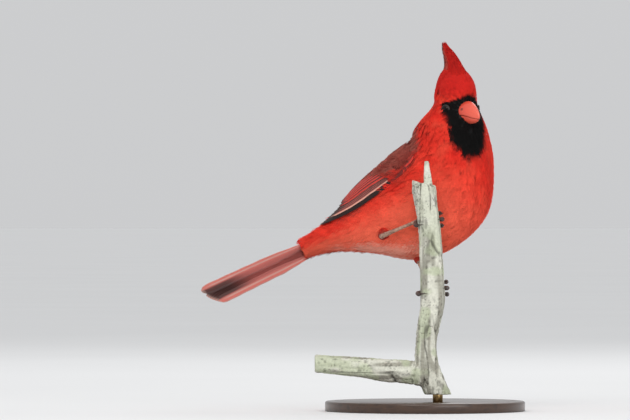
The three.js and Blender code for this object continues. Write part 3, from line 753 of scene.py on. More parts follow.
def thigh_uv(index, t, angle):
    return np.stack([0.91 + 0.045 * index + 0.035 * (angle % 360) / 360, 0.01 + 0.98 * np.clip(t, 0, 1)], -1)


def degrees_round(sides):
    return np.arange(sides) * 360 / sides


def body_skin():
    """Points, faces, bake places and colours of the body's skin, under the form by the coat's depth."""
    rows, sides = SKIN_GRID
    k, angle = grid(np.linspace(0, CROWN_END, rows), degrees_round(sides))
    points = with_middles(on_form(k, angle, -along(COAT_DEPTH, k)), sides)
    uv = np.concatenate([skin_uv(k, angle), [(0.45, 0.005), (0.45, 0.995)]])
    colours = markings(on_form(k, angle), k, angle)
    return points, capped_faces(rows, sides), uv, np.concatenate([colours, colours[:1], colours[-1:]])


def thigh_skin(index, leg):
    """The same for a thigh, a tube that is closed at the ankle and inside the belly."""
    shares = np.linspace(0, 1, len(THIGH_RADII))
    line = mix(*thigh_ends(leg), shares[:, None])
    points, faces = tube_arrays(line, np.array(THIGH_RADII) - 0.8, THIGH_SIDES)
    t, angle = grid(shares, degrees_round(THIGH_SIDES))
    uv = thigh_uv(index, np.append(t, (0, 1)), np.append(angle, (0, 0)))
    return points, faces, uv, np.tile(ORANGE_RED, (len(points), 1))


def crest_skin():
    """The same for the flesh in the raised crest, from inside the crown up to its thin end."""
    rows, sides = CREST_GRID
    low, high = 190, 219
    height, angle = grid(np.linspace(low, high, rows), degrees_round(sides))
    points = with_middles(crest_ring(height, angle, 0.9)[0], sides)
    uv = np.stack([0.91 + 0.08 * angle / 360, (height - low) / (high - low)], -1)
    uv = np.concatenate([uv, [(0.95, 0.005), (0.95, 0.995)]])
    return points, capped_faces(rows, sides), uv, np.tile(CREST_RED, (len(points), 1))


def make_skin():
    """The closed skins of the body, thighs and crest as one mesh inside their solids."""
    parts = [body_skin()] + [thigh_skin(*pair) for pair in enumerate(LEGS)] + [crest_skin()]
    points, faces = join_arrays([part[:2] for part in parts])
    uv, colours = (np.concatenate([part[i] for part in parts]) for i in (2, 3))
    flesh = ["head", "neck", "torso", "rump", "thigh_right", "thigh_left"]
    skin = new_mesh("skin", points, faces, "plumage", flesh)
    dress(skin, tinted_material("skin_red", 0.85, 900.0, 0.3, 0.0002), colours * 0.92, uv)


def thigh_ends(leg):
    return np.array(leg["ankle"], float), np.array(leg["knee"], float)


# Tubes

def curve_points(line, count):
    """Points spread along a smooth curve through line."""
    line = np.asarray(line, float)
    return along(line, np.linspace(0, len(line) - 1, count))


def tube_arrays(line, radii, sides):
    """Points and faces of a closed round tube along line, with a radius for each of its points."""
    line = np.asarray(line, float)
    tangent = unit(np.gradient(line, axis=0))
    normal = np.cross(tangent[0], (0.3, 0.2, 0.9))
    a = turns(sides)
    rings = []
    for p, t, r in zip(line, tangent, radii):
        normal = unit(normal - t * (normal @ t))
        other = np.cross(t, normal)
        rings.append(p + np.outer(np.cos(a) * r, normal) + np.outer(np.sin(a) * r, other))
    return np.concatenate(rings + [line[:1], line[-1:]]), capped_faces(len(line), sides)


# Coat

def wing_edges(k):
    """Angles of a folded wing's lower and upper edge at stations k."""
    return [along(edge, np.clip(k, 0, 5)) for edge in (WING_LOWER, WING_UPPER)]


def wing_cover(k, angle):
    """True where a folded wing lies over the body."""
    lower, upper = wing_edges(k)
    side = from_back(angle)
    lap = 6 * smooth(3.1, 3.7, k)
    return (k > 1.7) & (k < 4.6) & (side < lower - lap) & (side > upper + 8)


def over_wing(k, angle):
    """Height that body feathers need near a folded wing's lower edge so that they lap over it."""
    off = from_back(angle) - wing_edges(k)[0] - 3
    return 2.0 * np.exp(-(off / 9) ** 2) * smooth(3.1, 3.7, k) * smooth(5.2, 4.6, k)


def bill_or_eye(points):
    """True where the bill and the eyes come out of the face."""
    forward, right, up = in_head(points)
    bill = (np.hypot(right / (BILL["half"] - 0.6), (up + 3.6) / 7.8) < 1) & (forward > 5)
    eye = np.zeros(len(points), bool)
    for side in (1, -1):
        away = np.linalg.norm(points - at_head(EYE["forward"], side * EYE["side"], EYE["up"]), axis=-1)
        eye |= away < EYE["radius"] + 0.7
    return bill | eye


def make_coat():
    """Soft feathers over the body, from the tail's root up to the throat, and then the other parts' coats."""
    soft = feather_template(8, 0.38, 0.062, 0.05)
    k, angle = scatter(
        lambda k, angle: mix(1.8, 2.45, smooth(7.0, 5.0, k)),
        (0.05, 7.5),
        lambda points, k, angle: ~wing_cover(k, angle),
    )
    length = mix(6.5, 12.5, smooth(7.2, 4.8, k)) * mix(0.75, 1.0, smooth(0.2, 2.2, k))
    length = length * rng.uniform(0.85, 1.15, len(k))
    raised = over_wing(k, angle)
    depth = along(COAT_DEPTH, k) * 0.75 - 0.7 * raised
    lay_feathers("coat_body", soft, k, angle, length, length * 0.62, depth, raised)
    make_head_coat()
    make_shoulders(soft)
    make_thigh_coats()


def make_head_coat():
    """Short dense feathers of the head, longest on the crown. None grows through the bill or an eye."""
    plush = feather_template(4, 0.36, 0.11, 0.04)
    k, angle = scatter(
        lambda k, angle: mix(1.05, 1.5, smooth(8.4, 7.4, k)),
        (7.3, 11.8),
        lambda points, k, angle: ~bill_or_eye(points),
    )
    length = mix(2.6, 6.0, smooth(8.6, 7.2, k))
    _, _, up = in_head(on_form(k, angle))
    length = mix(length, 6.0, smooth(3, 10, up)) * rng.uniform(0.85, 1.15, len(k))
    lay_feathers("coat_head", plush, k, angle, length, length * 0.7, along(COAT_DEPTH, k) * 0.7, 0.0)


def make_shoulders(template):
    """Scapular feathers that lap over the front and the upper part of each folded wing."""
    def on_shoulder(points, k, angle):
        side = from_back(angle)
        rear = mix(3.15, 3.75, smooth(40, 88, side))
        return (k > rear) & (side < wing_edges(k)[0] - 3)

    k, angle = scatter(lambda k, angle: np.full(len(k), 2.1), (3.1, 5.6), on_shoulder, 26000)
    length = rng.uniform(9, 12, len(k))
    over = smooth(5.3, 4.5, k) * smooth(0, 14, from_back(angle))
    depth = 1.4 - 3.2 * over
    lay_feathers("coat_shoulders", template, k, angle, length, length * 0.62, depth, 0.1 + 2.8 * over)


def crest_ring(height, angle, inset=0.0):
    """Points of the crest's form at heights, turned by angle from the face's way to the right."""
    x, far, wide = (np.interp(height, CREST_FORM[:, 0], CREST_FORM[:, c]) for c in (1, 2, 3))
    level = unit(FACE_WAY * (1, 1, 0))
    behind = (x - HEAD_MIDDLE[0]) / level[0]
    middle = HEAD_MIDDLE * (1, 1, 0) + level * behind[..., None] + np.array((0, 0, 1.0)) * height[..., None]
    a = np.radians(angle)
    ahead, aside = np.cos(a) * (far - inset), np.sin(a) * (wide - inset)
    out = level * ahead[..., None] + HEAD_RIGHT * aside[..., None]
    return middle + out, unit(out + np.array((0, 0, 0.25)))


def lay_lines(name, template, line, out, width, colours, spots):
    """One piece with a feather for each row of line, which holds roots, middles and tips. out is the way each
    faces, and spots the place of each root on the bake map."""
    across = unit(np.cross(line[2] - line[0], out))[:, None]
    out = out[:, None]
    u, x, h = (column[None, :, None] for column in template[0].T)
    w = width[:, None, None]
    points = bent_lines(line, u) + across * (x * w) + out * (h * w - 0.25 * w * x * x)
    # Darker towards each feather's root: partly its greyer base and partly painted shade where the feathers
    # overlap.
    dark = 0.7 + 0.3 * smooth(0.1, 0.8, u)
    feather_piece(name, template, points, colours[:, None] * dark, out + across * x * 0.5, spots)


def make_crest():
    """Long narrow feathers all over the crest's form, each rising along it towards the peak."""
    count = 1100
    low, high = CREST_FORM[0, 0], CREST_FORM[-1, 0]
    height = mix(low, high - 5, rng.uniform(0, 1, count) ** 1.2)
    angle = rng.uniform(-180, 180, count)
    end = np.minimum(height + rng.uniform(7, 12, count), high + 0.5 * rng.normal(0, 1, count))
    root, out = crest_ring(height, angle, 1.2)
    line = (root, crest_ring(mix(height, end, 0.5), angle, 0.3)[0], crest_ring(end, angle)[0])
    width = np.clip((end - height) * 0.40, 2.0, 4.4) * mix(1.0, 0.5, smooth(205, 216, height))
    share = rng.uniform(0, 0.6, count) + 0.3 * smooth(200, 192, height)
    colours = blend(CREST_RED * 0.75, RED * 0.9, np.clip(share, 0, 1))
    # Painted light: a pale glow where light shines through the thin feathers at the crest's rim.
    edge = smooth(75, 112, np.abs(angle)) * smooth(168, 135, np.abs(angle))
    colours = blend(colours, CREST_RIM_LIGHT, 0.6 * edge)
    spots = skin_uv(mix(9.2, 11.6, (height - low) / (high - low)), angle)
    lay_lines("crest", feather_template(6, 0.26, 0.06, 0.05), line, out, width, colours, spots)


def thigh_point(leg, t, angle, lift):
    """Points round a thigh at shares t of the way from the ankle to the knee, and the ways out."""
    ankle, knee = thigh_ends(leg)
    axis = unit(knee - ankle)
    first = unit(np.cross(axis, (0, 0, 1.0)))
    second = np.cross(axis, first)
    a = np.radians(angle)[:, None]
    out = first * np.cos(a) + second * np.sin(a)
    radius = np.interp(t, np.linspace(0, 1, len(THIGH_RADII)), THIGH_RADII)
    return mix(ankle, knee, t[:, None]) + out * (radius + lift)[:, None], out


def make_thigh_coats():
    """Short feathers that run down each thigh and close over the top of the bare leg."""
    template = feather_template(6, 0.3, 0.07, 0.05)
    count = 260
    for index, leg in enumerate(LEGS):
        t = rng.uniform(0.08, 0.9, count)
        angle = rng.uniform(-180, 180, count)
        end = np.maximum(t - rng.uniform(0.22, 0.34, count), -0.03)
        root, out = thigh_point(leg, t, angle, -0.6)
        middle = thigh_point(leg, mix(t, end, 0.5), angle, 0.5)[0]
        tip = thigh_point(leg, end, angle, 0.3 - 0.95 * smooth(0.25, 0.0, end))[0]
        colours = mix(RED, ORANGE_RED * (1.0, 1.5, 1.6), rng.uniform(0, 1, (count, 1)))
        colours = blend(colours, BACK_BROWN * 1.3, 0.6 * smooth(0.35, 0.1, t))
        spots = thigh_uv(index, t, angle)
        name = f"coat_thigh_{leg['name']}"
        lay_lines(name, template, (root, middle, tip), out, np.full(count, 2.6), colours, spots)


# Large feathers of the wings and tail

def vane_share(t, point):
    """Share of a vane's full width at the share t of its length."""
    end = np.clip((t - (1 - point)) / point, 0, 1)
    return np.minimum(1, 0.5 + 1.8 * t) * np.sqrt(np.maximum(0.02, 1 - end * end))


def big_feather(line, outs, width, tilt, point, paint, camber=0.05, outer=OUTER_WEB):
    """A closed vane along line: points, faces, colours, places in the web in millimetres, and places along
    (0 to 1) and across (-1 to 1), which paint gives the colours for. outer is the share of the width on the
    shaft's +1 side."""
    rows, columns = len(line), 9
    t = np.linspace(0, 1, rows)
    tangent = unit(np.gradient(line, axis=0))
    across = unit(np.cross(tangent, outs))
    up = unit(np.cross(across, tangent))
    up = np.where(np.sum(up * outs, -1, keepdims=True) < 0, -up, up)[:, None]
    half = (width / 2 * vane_share(t, point))[:, None, None]
    x = np.linspace(-1, 1, columns)
    split = 0.03 * np.sin(37 * t[:, None] + 3 * x[None]) * np.abs(x[None]) ** 3
    middle = line[:, None] + (x[None] + split)[..., None] * half * across[:, None]
    middle = middle + (tilt * x - camber * 4 * x * x)[None, :, None] * half * up
    ridge = 0.16 * np.exp(-((x - (1 - 2 * outer)) / 0.1) ** 2)[None, :, None] * up
    thick = up * VANE_THICKNESS / 2 * (1 - 0.7 * np.abs(x) ** 3)[None, :, None]
    points = np.concatenate([middle + thick + ridge, middle - thick - 0.5 * ridge]).reshape(-1, 3)
    place = np.stack(grid(t, x), -1)
    long = np.linalg.norm(line[-1] - line[0])
    web = np.stack([place[:, 1] * np.repeat(half, columns), place[:, 0] * long, 0 * place[:, 0]], -1)
    return points, sheet_faces(rows, columns), *(np.tile(v, (2, 1)) for v in (paint(*place.T), web, place))


def strip_uv(place, index, count):
    """Strip of the bake map for a large feather: its top in the upper half and its underside in the lower."""
    strip = (place[:, ::-1] * (0.5, 1) + (0.5, 0)) * (0.9 / count, 0.98)
    half = len(strip) // 2
    strip[:, 1] *= 0.49
    strip[:half, 1] += 0.5
    return strip + (index / count, 0.01)


def join_feathers(name, feathers, slot, node_name):
    """Large feathers as one piece."""
    points, faces = join_arrays([feather[:2] for feather in feathers])
    colours, webs = (np.concatenate([feather[i] for feather in feathers]) for i in (2, 3))
    uv = np.concatenate([strip_uv(feather[4], i, len(feathers)) for i, feather in enumerate(feathers)])
    piece = new_mesh(name, points, faces, slot, node_name)
    web = piece.data.attributes.new("Web", "FLOAT_VECTOR", "POINT")
    web.data.foreach_set("vector", webs.astype(np.float32).ravel())
    dress(piece, VANE, colours, uv)


def vane_material():
    """The points' colour with the fine slanting barbs of both webs, as shade and bump."""
    made, tree, shader = material("feather_vane", 0.55, Sheen_Weight=0.05, Specular_IOR_Level=0.25)
    web = node(tree, "ShaderNodeAttribute", attribute_name="Web")
    parts = node(tree, "ShaderNodeSeparateXYZ")
    tree.links.new(web.outputs["Vector"], parts.inputs[0])
    side = maths(tree, "ABSOLUTE", parts.outputs["X"])
    slant = maths(tree, "MULTIPLY_ADD", side, -BARB_SLANT, parts.outputs["Y"])
    wave = maths(tree, "SINE", maths(tree, "MULTIPLY", slant, 2 * math.pi / BARB_SPACING))
    level = maths(tree, "ADD", wave, noise_node(tree, 420.0).outputs["Fac"])
    tint_by(tree, shader, level, (-1.0, 2.0), 0.2)
    bump(tree, shader, wave, 0.00006, 0.6)
    return made


def wing_path(side, root, tip, lifts, count):
    """Points and ways out along a feather on the folded wing. root and tip are each a station and a share of
    the way from the wing's lower to its upper edge."""
    t = np.linspace(0, 1, count)
    k = mix(root[0], tip[0], t)
    share = mix(root[1], tip[1], t)
    angle = side * mix(along(WING_LOWER, k), along(WING_UPPER, k), share)
    _, _, out = form_frame(k, angle)
    return on_form(k, angle) + out * along(lifts, t * 2)[:, None], out


def flight_paint(edge, web, outer_side, web_from=0.52, edge_from=0.88):
    """Paint of a flight feather: dusky, but for the coloured strip of its outer web that shows in the folded
    wing, with a margin. The dusky part makes a dark line beside the next feather, partly its dusky inner web
    and partly painted shadow between the feathers."""
    def paint(t, x):
        out = x * outer_side
        colour = blend(DUSKY, web, smooth(web_from - 0.06, web_from + 0.06, out))
        colour = blend(colour, edge, smooth(edge_from - 0.05, edge_from + 0.05, out) * 0.9)
        return blend(colour, DUSKY * 1.5, 0.6 * smooth(0.9, 1.0, t))
    return paint


def covert_paint(middle, edge):
    """Paint of a covert: a dusky middle inside a red margin."""
    def paint(t, x):
        rim = np.maximum(np.abs(x) ** 1.5, smooth(0.55, 0.95, t))
        return blend(middle, edge, smooth(0.25, 0.75, rim))
    return paint


# Tiers of the wing: name; count; for the first and last feather, stations of the root and of the tip, and
# shares of the way up the wing of the root and of the tip; width; heights at root, middle and tip; share of
# the length that the rounded end has
TIERS = [
    ("primaries", 9, (3.9, 3.8), (0.92, 1.85), (0.04, 0.2), (0.0, 0.34), 6.0, (1.0, 1.1, 1.2), 0.22),
    ("secondaries", 8, (3.8, 3.6), (1.75, 1.98), (0.2, 0.66), (0.32, 0.8), 7.0, (1.3, 1.9, 1.7), 0.2),
    ("tertials", 3, (3.7, 3.7), (2.05, 2.6), (0.72, 0.9), (0.82, 0.93), 8.6, (1.7, 2.5, 2.3), 0.3),
    ("primary_coverts", 6, (4.25, 4.2), (3.35, 3.45), (0.03, 0.14), (0.03, 0.16), 4.6, (1.2, 1.5, 1.5), 0.4),
    ("greater_coverts", 9, (4.15, 4.15), (3.3, 3.15), (0.2, 0.9), (0.22, 0.92), 6.2, (1.2, 1.7, 1.8), 0.4),
    ("median_coverts", 9, (4.5, 4.5), (3.85, 3.8), (0.1, 0.9), (0.1, 0.92), 6.0, (0.6, 1.2, 1.6), 0.5),
]


def tier_paint(name, i, side):
    """Paint of the feather i, counted from the lowest, of a tier."""
    outer = -side
    # The lowest primaries are dusky all over: partly their dark undersides and partly painted shadow under
    # the wing's pale line.
    if name == "primaries" and i < PALE_PRIMARY:
        return flight_paint(DUSKY * 0.7, DUSKY * 0.6, outer)
    if name == "primaries" and i == PALE_PRIMARY:
        return flight_paint(PALE, DUSKY * 2.0, outer, 0.7, 0.72)
    if name == "primaries":
        return flight_paint(ROSE * 0.9, DUSKY * 2.0, outer, 0.7, 0.86)
    if name == "secondaries":
        return flight_paint(mix(WING_RED, ROSE, 0.3), WING_RED * 0.9, outer, 0.58)
    if name == "tertials":
        return covert_paint(DUSKY * 1.3, mix(WING_RED, FRINGE, 0.6))
    if name == "primary_coverts":
        return covert_paint(DUSKY, WING_RED * 0.35)
    return covert_paint(mix(DUSKY, WING_RED, 0.35), WING_RED)


def wing_core(side):
    """The flesh of the folded wing, a low saddle that its feathers root in."""
    rows, columns = 24, 14
    v, u = grid(np.linspace(0, 1, rows), np.linspace(0, 1, columns))
    k = mix(*WING_CORE, v)
    inset = 0.04 + 0.12 * (np.abs(2 * v - 1) ** 6)
    angle = side * mix(along(WING_LOWER, k), along(WING_UPPER, k), mix(inset, 1 - inset, u))
    _, _, out = form_frame(k, angle)
    swell = np.sin(math.pi * np.clip(u, 0.04, 0.96)) * np.sin(math.pi * np.clip(v, 0.06, 0.94))
    top = on_form(k, angle) + out * (2.3 * swell - 0.8)[:, None]
    under = on_form(k, angle) - out * 2.6
    return np.concatenate([top, under]), sheet_faces(rows, columns)


def make_wing(name, side):
    feathers = []
    for tier, count, root_k, tip_k, root, tip, width, lifts, point in TIERS:
        rows, outer = (11, 0.5) if "coverts" in tier else (22, OUTER_WEB)
        for i in range(count):
            t = i / (count - 1)
            start = (mix(*root_k, t), mix(*root, t))
            end = (mix(*tip_k, t) + rng.normal(0, 0.02), mix(*tip, t))
            line, outs = wing_path(side, start, end, lifts, rows)
            line = line + outs * (0.05 * i)
            paint = tier_paint(tier, i, side)
            feathers.append(big_feather(line, outs, width, -side * 0.2, point, paint, outer=outer))
    join_feathers(name, feathers, "wing_feathers", name.replace("feathers_", ""))
    points, faces = wing_core(side)
    core = new_mesh(f"{name}_bed", points, faces, "wing_feathers")
    look = tinted_material(f"{name}_bed_red", 0.85, 700.0, 0.3)
    dress(core, look, np.tile(WING_RED * 0.6, (len(points), 1)))


def make_tail():
    middle, back, right, _ = section(np.array(0.0))
    tip = np.array(TAIL["tip"])
    rearward = unit(tip - middle)
    up = unit(np.cross(rearward, right))
    up = -up if up @ back < 0 else up
    start = middle - up * 0.4
    reach = np.linalg.norm(tip - start)
    pairs, feathers = TAIL["pairs"], []
    q = np.linspace(0, 1, 30)
    outs = np.tile(up, (len(q), 1))
    for pair in range(pairs):
        t = pair / (pairs - 1)
        for side in (1, -1):
            length = reach * (1 - 0.03 * t * t) + side * TAIL["slant"] * t
            level = TAIL["pitch"] * ((pairs - 1) / 2 - pair) + 0.1 * side
            apart = side * mix(TAIL["root_spread"], TAIL["spread"], q) * (0.22 + 0.78 * t)
            line = start + rearward * (q * length)[:, None] + right * apart[:, None]
            line = line + up * (level - 1.2 * q * q + 1.2 * q)[:, None]
            paint = tail_paint(pair == pairs - 1, side)
            feathers.append(big_feather(line, outs, TAIL["width"], 0.0, 0.09, paint, 0.03))
    join_feathers("feathers_tail", feathers, "tail_feathers", "tail")


def tail_paint(outermost, side):
    """Paint of a tail feather: rosy, with a pale shaft, a pale rim, and a dusky inner web towards the tip
    that is partly its own colour and partly painted shadow between the tail's two halves.
    """
    def paint(t, x):
        out = -x * side
        colour = blend(ROSE * 1.3, ROSE * 0.85, smooth(0.3, -0.6, out))
        # Dusky inner web towards the tip: partly its own colour and partly painted shadow between the tail's
        # two halves.
        colour = blend(colour, DUSKY * 1.6, 0.9 * smooth(0.5, 0.8, t) * smooth(0.1, -0.3, out))
        colour = blend(colour, DUSKY * 2, 0.6 * np.exp(-((out - 0.12) / 0.06) ** 2))
        shaft = np.exp(-((out - 0.28) / 0.08) ** 2) * smooth(1.0, 0.85, t)
        rim = np.maximum(0.9 * smooth(0.8, 0.97, out) * outermost, 0.7 * smooth(0.975, 1.0, t))
        return blend(colour, SHAFT, np.maximum(shaft * (0.95 if outermost else 0.6), rim))
    return paint


# Bill and eyes

def mouth_height(t):
    return (
        mix(BILL["gape"], BILL["point"], t)
        + 1.9 * np.sin(math.pi * np.clip(t * 1.15, 0, 1)) * (1 - t)
        - 1.2 * (1 - t) ** 3
    )


def jaw_arrays(upper):
    """The upper or lower half of the bill as a closed shell of fine rings."""
    rows, columns = 44, 33
    t, a = grid(np.linspace(0, 1, rows), np.linspace(0, math.pi, columns))
    taper = np.sqrt(np.maximum(0, 1 - t**1.75))
    depth = BILL["culmen"] * taper if upper else -BILL["gonys"] * (1 - t) ** 0.72
    sign = 1 if upper else -1
    half = (BILL["half"] * (1 - t) ** 0.78 + 0.35) * (1 if upper else 0.93)
    seam = mouth_height(t) + sign * GAP / 2
    reach = mix(BILL["root"], BILL["tip"], t * (1 if upper else 0.965))
    height = seam + (depth + sign * 0.35) * np.sin(a) ** (1.3 if upper else 0.95)
    faces = grid_faces(rows, columns, True)
    faces.append(range(columns))
    faces.append(range(rows * columns - 1, (rows - 1) * columns - 1, -1))
    return at_head(reach, half * np.cos(a), height), faces, t, a


def make_bill():
    ahead, aside, up = NOSTRIL_PLACE
    for upper, name in ((True, "bill_upper"), (False, "bill_lower")):
        points, faces, t, a = jaw_arrays(upper)
        piece = new_mesh(name.replace("bill", "beak"), points, faces, "bill", name)
        colour = blend(BILL_DEEP, BILL_LIGHT, smooth(0.1, 0.9, t) * 0.7)
        # Painted shade along the mouth line, where the two halves of the bill meet.
        colour = blend(colour, BILL_SEAM_SHADE, 0.5 * smooth(0.35, 0.0, np.minimum(a, math.pi - a)))
        # A painted shade spot for the hollow of each nostril on the upper half.
        for side in (1, -1) if upper else ():
            away = np.linalg.norm(points - at_head(ahead, side * aside, up), axis=-1)
            colour = blend(colour, NOSTRIL, 0.85 * smooth(1.3, 0.6, away))
        dress(piece, BILL_HORN, colour)


def make_eyes():
    for side, name in ((1, "right"), (-1, "left")):
        middle = at_head(EYE["forward"], side * EYE["side"], EYE["up"])
        outward = unit(HEAD_RIGHT * side + FACE_WAY * 0.42)
        ball, faces = sphere_arrays(middle, EYE["radius"], outward, 32, 20)
        piece = new_mesh(f"eyeball_{name}", ball, faces, "eye", f"eye_{name}")
        dress(piece, EYE_WET, blend(IRIS, PUPIL, smooth(0.78, 0.84, unit(ball - middle) @ outward)))
        ring, faces = lid_arrays(middle, outward)
        dress(new_mesh(f"lid_{name}", ring, faces, "plumage"), LID, np.tile(LID_GREY, (len(ring), 1)))


def sphere_arrays(middle, radius, axis, around, rows):
    side = unit(np.cross(axis, (0.1, 0.2, 1.0)))
    other = np.cross(axis, side)
    polar, a = (v[:, None] for v in grid(math.pi * np.arange(1, rows) / rows, turns(around)))
    way = axis * np.cos(polar) + (side * np.cos(a) + other * np.sin(a)) * np.sin(polar)
    points = middle + np.concatenate([way, [axis, -axis]]) * radius
    return points, capped_faces(rows - 1, around)


def lid_arrays(middle, outward):
    """An almond ring of bare lid round the eye."""
    side = unit(np.cross((0, 0, 1.0), outward))
    up = np.cross(outward, side)
    around, sides = 40, 10
    a, b = turns(around)[:, None], turns(sides)
    wide, high = 2.5 * np.cos(a), 2.4 * np.sin(a)
    sink = np.sqrt(np.maximum(0.0, (EYE["radius"] + 0.1) ** 2 - wide**2 - high**2))
    line = middle + side * wide + up * high + outward * sink
    rings = []
    for j in range(around):
        tangent = unit(line[(j + 1) % around] - line[j - 1])
        out = unit(line[j] - middle)
        cross = np.cross(tangent, out)
        rings.append(line[j] + np.outer(np.cos(b) * 0.42, out) + np.outer(np.sin(b) * 0.55, cross))
    return np.concatenate(rings), grid_faces(around, sides, True, True)


# Legs and feet

def stem_at(z):
    k = np.linspace(0, len(STEM) - 1, 460)
    line = along(STEM, k)
    return np.interp(z, line[:, 1], line[:, 0]), np.interp(z, line[:, 1], line[:, 2])


def on_stem(z, angle, lift):
    """Points on the stem's bark: 0 degrees is the front, 90 the right and 180 the back."""
    z, angle = np.broadcast_arrays(np.asarray(z, float), np.asarray(angle, float))
    x, radius = stem_at(z)
    a = np.radians(angle)
    bark = 1 + 0.045 * np.sin(2 * a + z / 17) + 0.03 * np.sin(5 * a - z / 9) + 0.02 * np.sin(3 * a + z / 4)
    reach = radius * bark + lift
    return np.stack([x + np.sin(a) * reach, STEM_Y - np.cos(a) * reach, z], -1)


def toe_line(leg, toe, claw, count):
    """A toe's line round the stem from the palm, or its claw's line from there on."""
    t = np.linspace(0, 1, count)
    angle = toe["end"] + toe["claw"] * t if claw else mix(leg["palm"], toe["end"], t)
    rise = toe["rise"] * ((1 - 0.1 * t) if claw else np.sin(math.pi / 2 * t))
    arch = 0.7 * np.sin(math.pi * t) - 0.75 * t * t if claw else 0.25 * np.abs(np.sin(math.pi * 3 * t))
    return on_stem(leg["foot"] + rise, angle, GAP + TOE_RADIUS + arch)


def scaly_tube(line, radius, scutes):
    """A tube with a low step at each scute."""
    step = (np.linspace(0, 1, len(line)) * scutes) % 1
    ridge = 1 + 0.10 * smooth(0.0, 0.5, step) * smooth(1.0, 0.86, step)
    return tube_arrays(line, radius * ridge, 14)


def make_shank(leg, palm):
    ankle = np.array(leg["ankle"], float)
    line = curve_points([ankle, mix(ankle, palm, 0.5), palm], 70)
    t = np.linspace(0, 1, len(line))
    radius = np.interp(t, *SHANK_RADII)
    parts = [scaly_tube(line, radius, 11), sphere_arrays(ankle, ANKLE_RADIUS, UPWARD, 18, 12)]
    name = leg["name"]
    shank = new_mesh(f"tarsus_{name}", *join_arrays(parts), "leg_scales", f"shank_{name}")
    dress(shank, SHANK_SKIN)


def make_claw(leg, toe):
    line = toe_line(leg, toe, True, 20)
    size = CLAW_RADIUS * (1.15 if toe["name"] == "hind" else 1)
    taper = mix(size, 0.08, np.linspace(0, 1, len(line)) ** 1.2)
    name = f"{leg['name']}_{toe['name']}"
    dress(new_mesh(f"talon_{name}", *tube_arrays(line, taper, 12), "claw", f"claw_{name}"), CLAW_HORN)


def make_legs():
    for leg in LEGS:
        palm = on_stem(leg["foot"], leg["palm"], GAP + PALM_RADIUS)
        make_shank(leg, palm)
        parts = [sphere_arrays(palm, PALM_RADIUS, UPWARD, 18, 12)]
        for toe in TOES:
            line = toe_line(leg, toe, False, 60)
            swell = 1 + 0.12 * np.cos(np.linspace(0, 1, len(line)) * math.pi * 6)
            parts.append(scaly_tube(line, TOE_RADIUS * swell, 14))
            make_claw(leg, toe)
        name = leg["name"]
        foot = new_mesh(f"toes_{name}", *join_arrays(parts), "leg_scales", f"foot_{name}")
        dress(foot, TOE_SKIN)


# Perch and stand

def remeshed(node_name, voxel):
    """Points and faces of a solid made over in small even cells."""
    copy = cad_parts[node_name].copy()
    copy.data = copy.data.copy()
    scene.collection.objects.link(copy)
    cells = copy.modifiers.new("cells", "REMESH")
    cells.mode = "VOXEL"
    cells.voxel_size = voxel * MM
    graph = bpy.context.evaluated_depsgraph_get()
    mesh = copy.evaluated_get(graph).to_mesh()
    points = np.empty(len(mesh.vertices) * 3)
    mesh.vertices.foreach_get("co", points)
    normals = np.empty(len(mesh.vertices) * 3)
    mesh.vertices.foreach_get("normal", normals)
    faces = [tuple(p.vertices) for p in mesh.polygons]
    bpy.data.objects.remove(copy, do_unlink=True)
    return points.reshape(-1, 3) / MM, normals.reshape(-1, 3), faces


def make_perch():
    """Dead wood without bark: long cracks, ribs of grain, and pale lichen."""
    points, normals, faces = remeshed("perch", 0.6)
    upright = smooth(-9, -3, points[:, 0])
    along_stem = np.c_[points[:, 0], points[:, 1], points[:, 2] / 9]
    along_limb = np.c_[points[:, 0] / 9, points[:, 1], points[:, 2]]
    grain = mix(along_limb, along_stem, upright[:, None])
    ribs = noise(grain, 1.3, 1) - 0.5
    crack = smooth(0.06, 0.0, np.abs(noise(grain, 4.2, 2) - 0.5)) * smooth(0.35, 0.55, noise(points, 14.0, 4))
    pits = smooth(0.70, 0.82, noise(points, 2.0, 11)) * smooth(0.4, 0.6, noise(points, 9.0, 10))
    lump = noise(points, 7.0, 3) - 0.5
    depth = 0.7 * ribs + 0.5 * lump - 1.2 * crack - 0.5 * pits + 0.3 * (noise(points, 1.2, 15) - 0.5)
    moved = points + normals * np.minimum(depth, 0.25)[:, None]
    piece = new_mesh("perch_wood", moved, faces, "weathered_wood", "perch")
    worn = smooth(0.40, 0.72, noise(grain, 2.2, 7)) * mix(1.0, 0.75, smooth(95, 125, points[:, 2]))
    colour = blend(WOOD_PALE, WOOD_GREY, 0.8 * worn)
    lichen = smooth(0.45, 0.68, noise(points, 6.0, 8)) * mix(1.0, 0.4, smooth(90, 120, points[:, 2]))
    colour = blend(colour, LICHEN, 0.6 * lichen)
    fleck = smooth(0.70, 0.80, noise(points, 0.8, 9)) * smooth(0.35, 0.6, noise(points, 6.0, 16))
    colour = blend(colour, CRACK, 0.75 * np.maximum(np.maximum(crack, 0.7 * fleck), 0.6 * pits))
    dress(piece, tinted_material("dead_wood", 0.92, 700.0, 0.3, 0.0004), colour)


def lathe(name, outline, sides, middle, slot, node_name):
    """A turned piece from (radius, height) points, closed on its axis."""
    a = turns(sides)
    x, y = middle
    rings = [np.c_[x + r * np.cos(a), y + r * np.sin(a), np.full(sides, h)] for r, h in outline]
    points = np.concatenate(rings)
    faces = grid_faces(len(outline), sides, True)
    faces.append(range(sides - 1, -1, -1))
    faces.append(range(len(points) - sides, len(points)))
    return new_mesh(name, points, faces, slot, node_name)


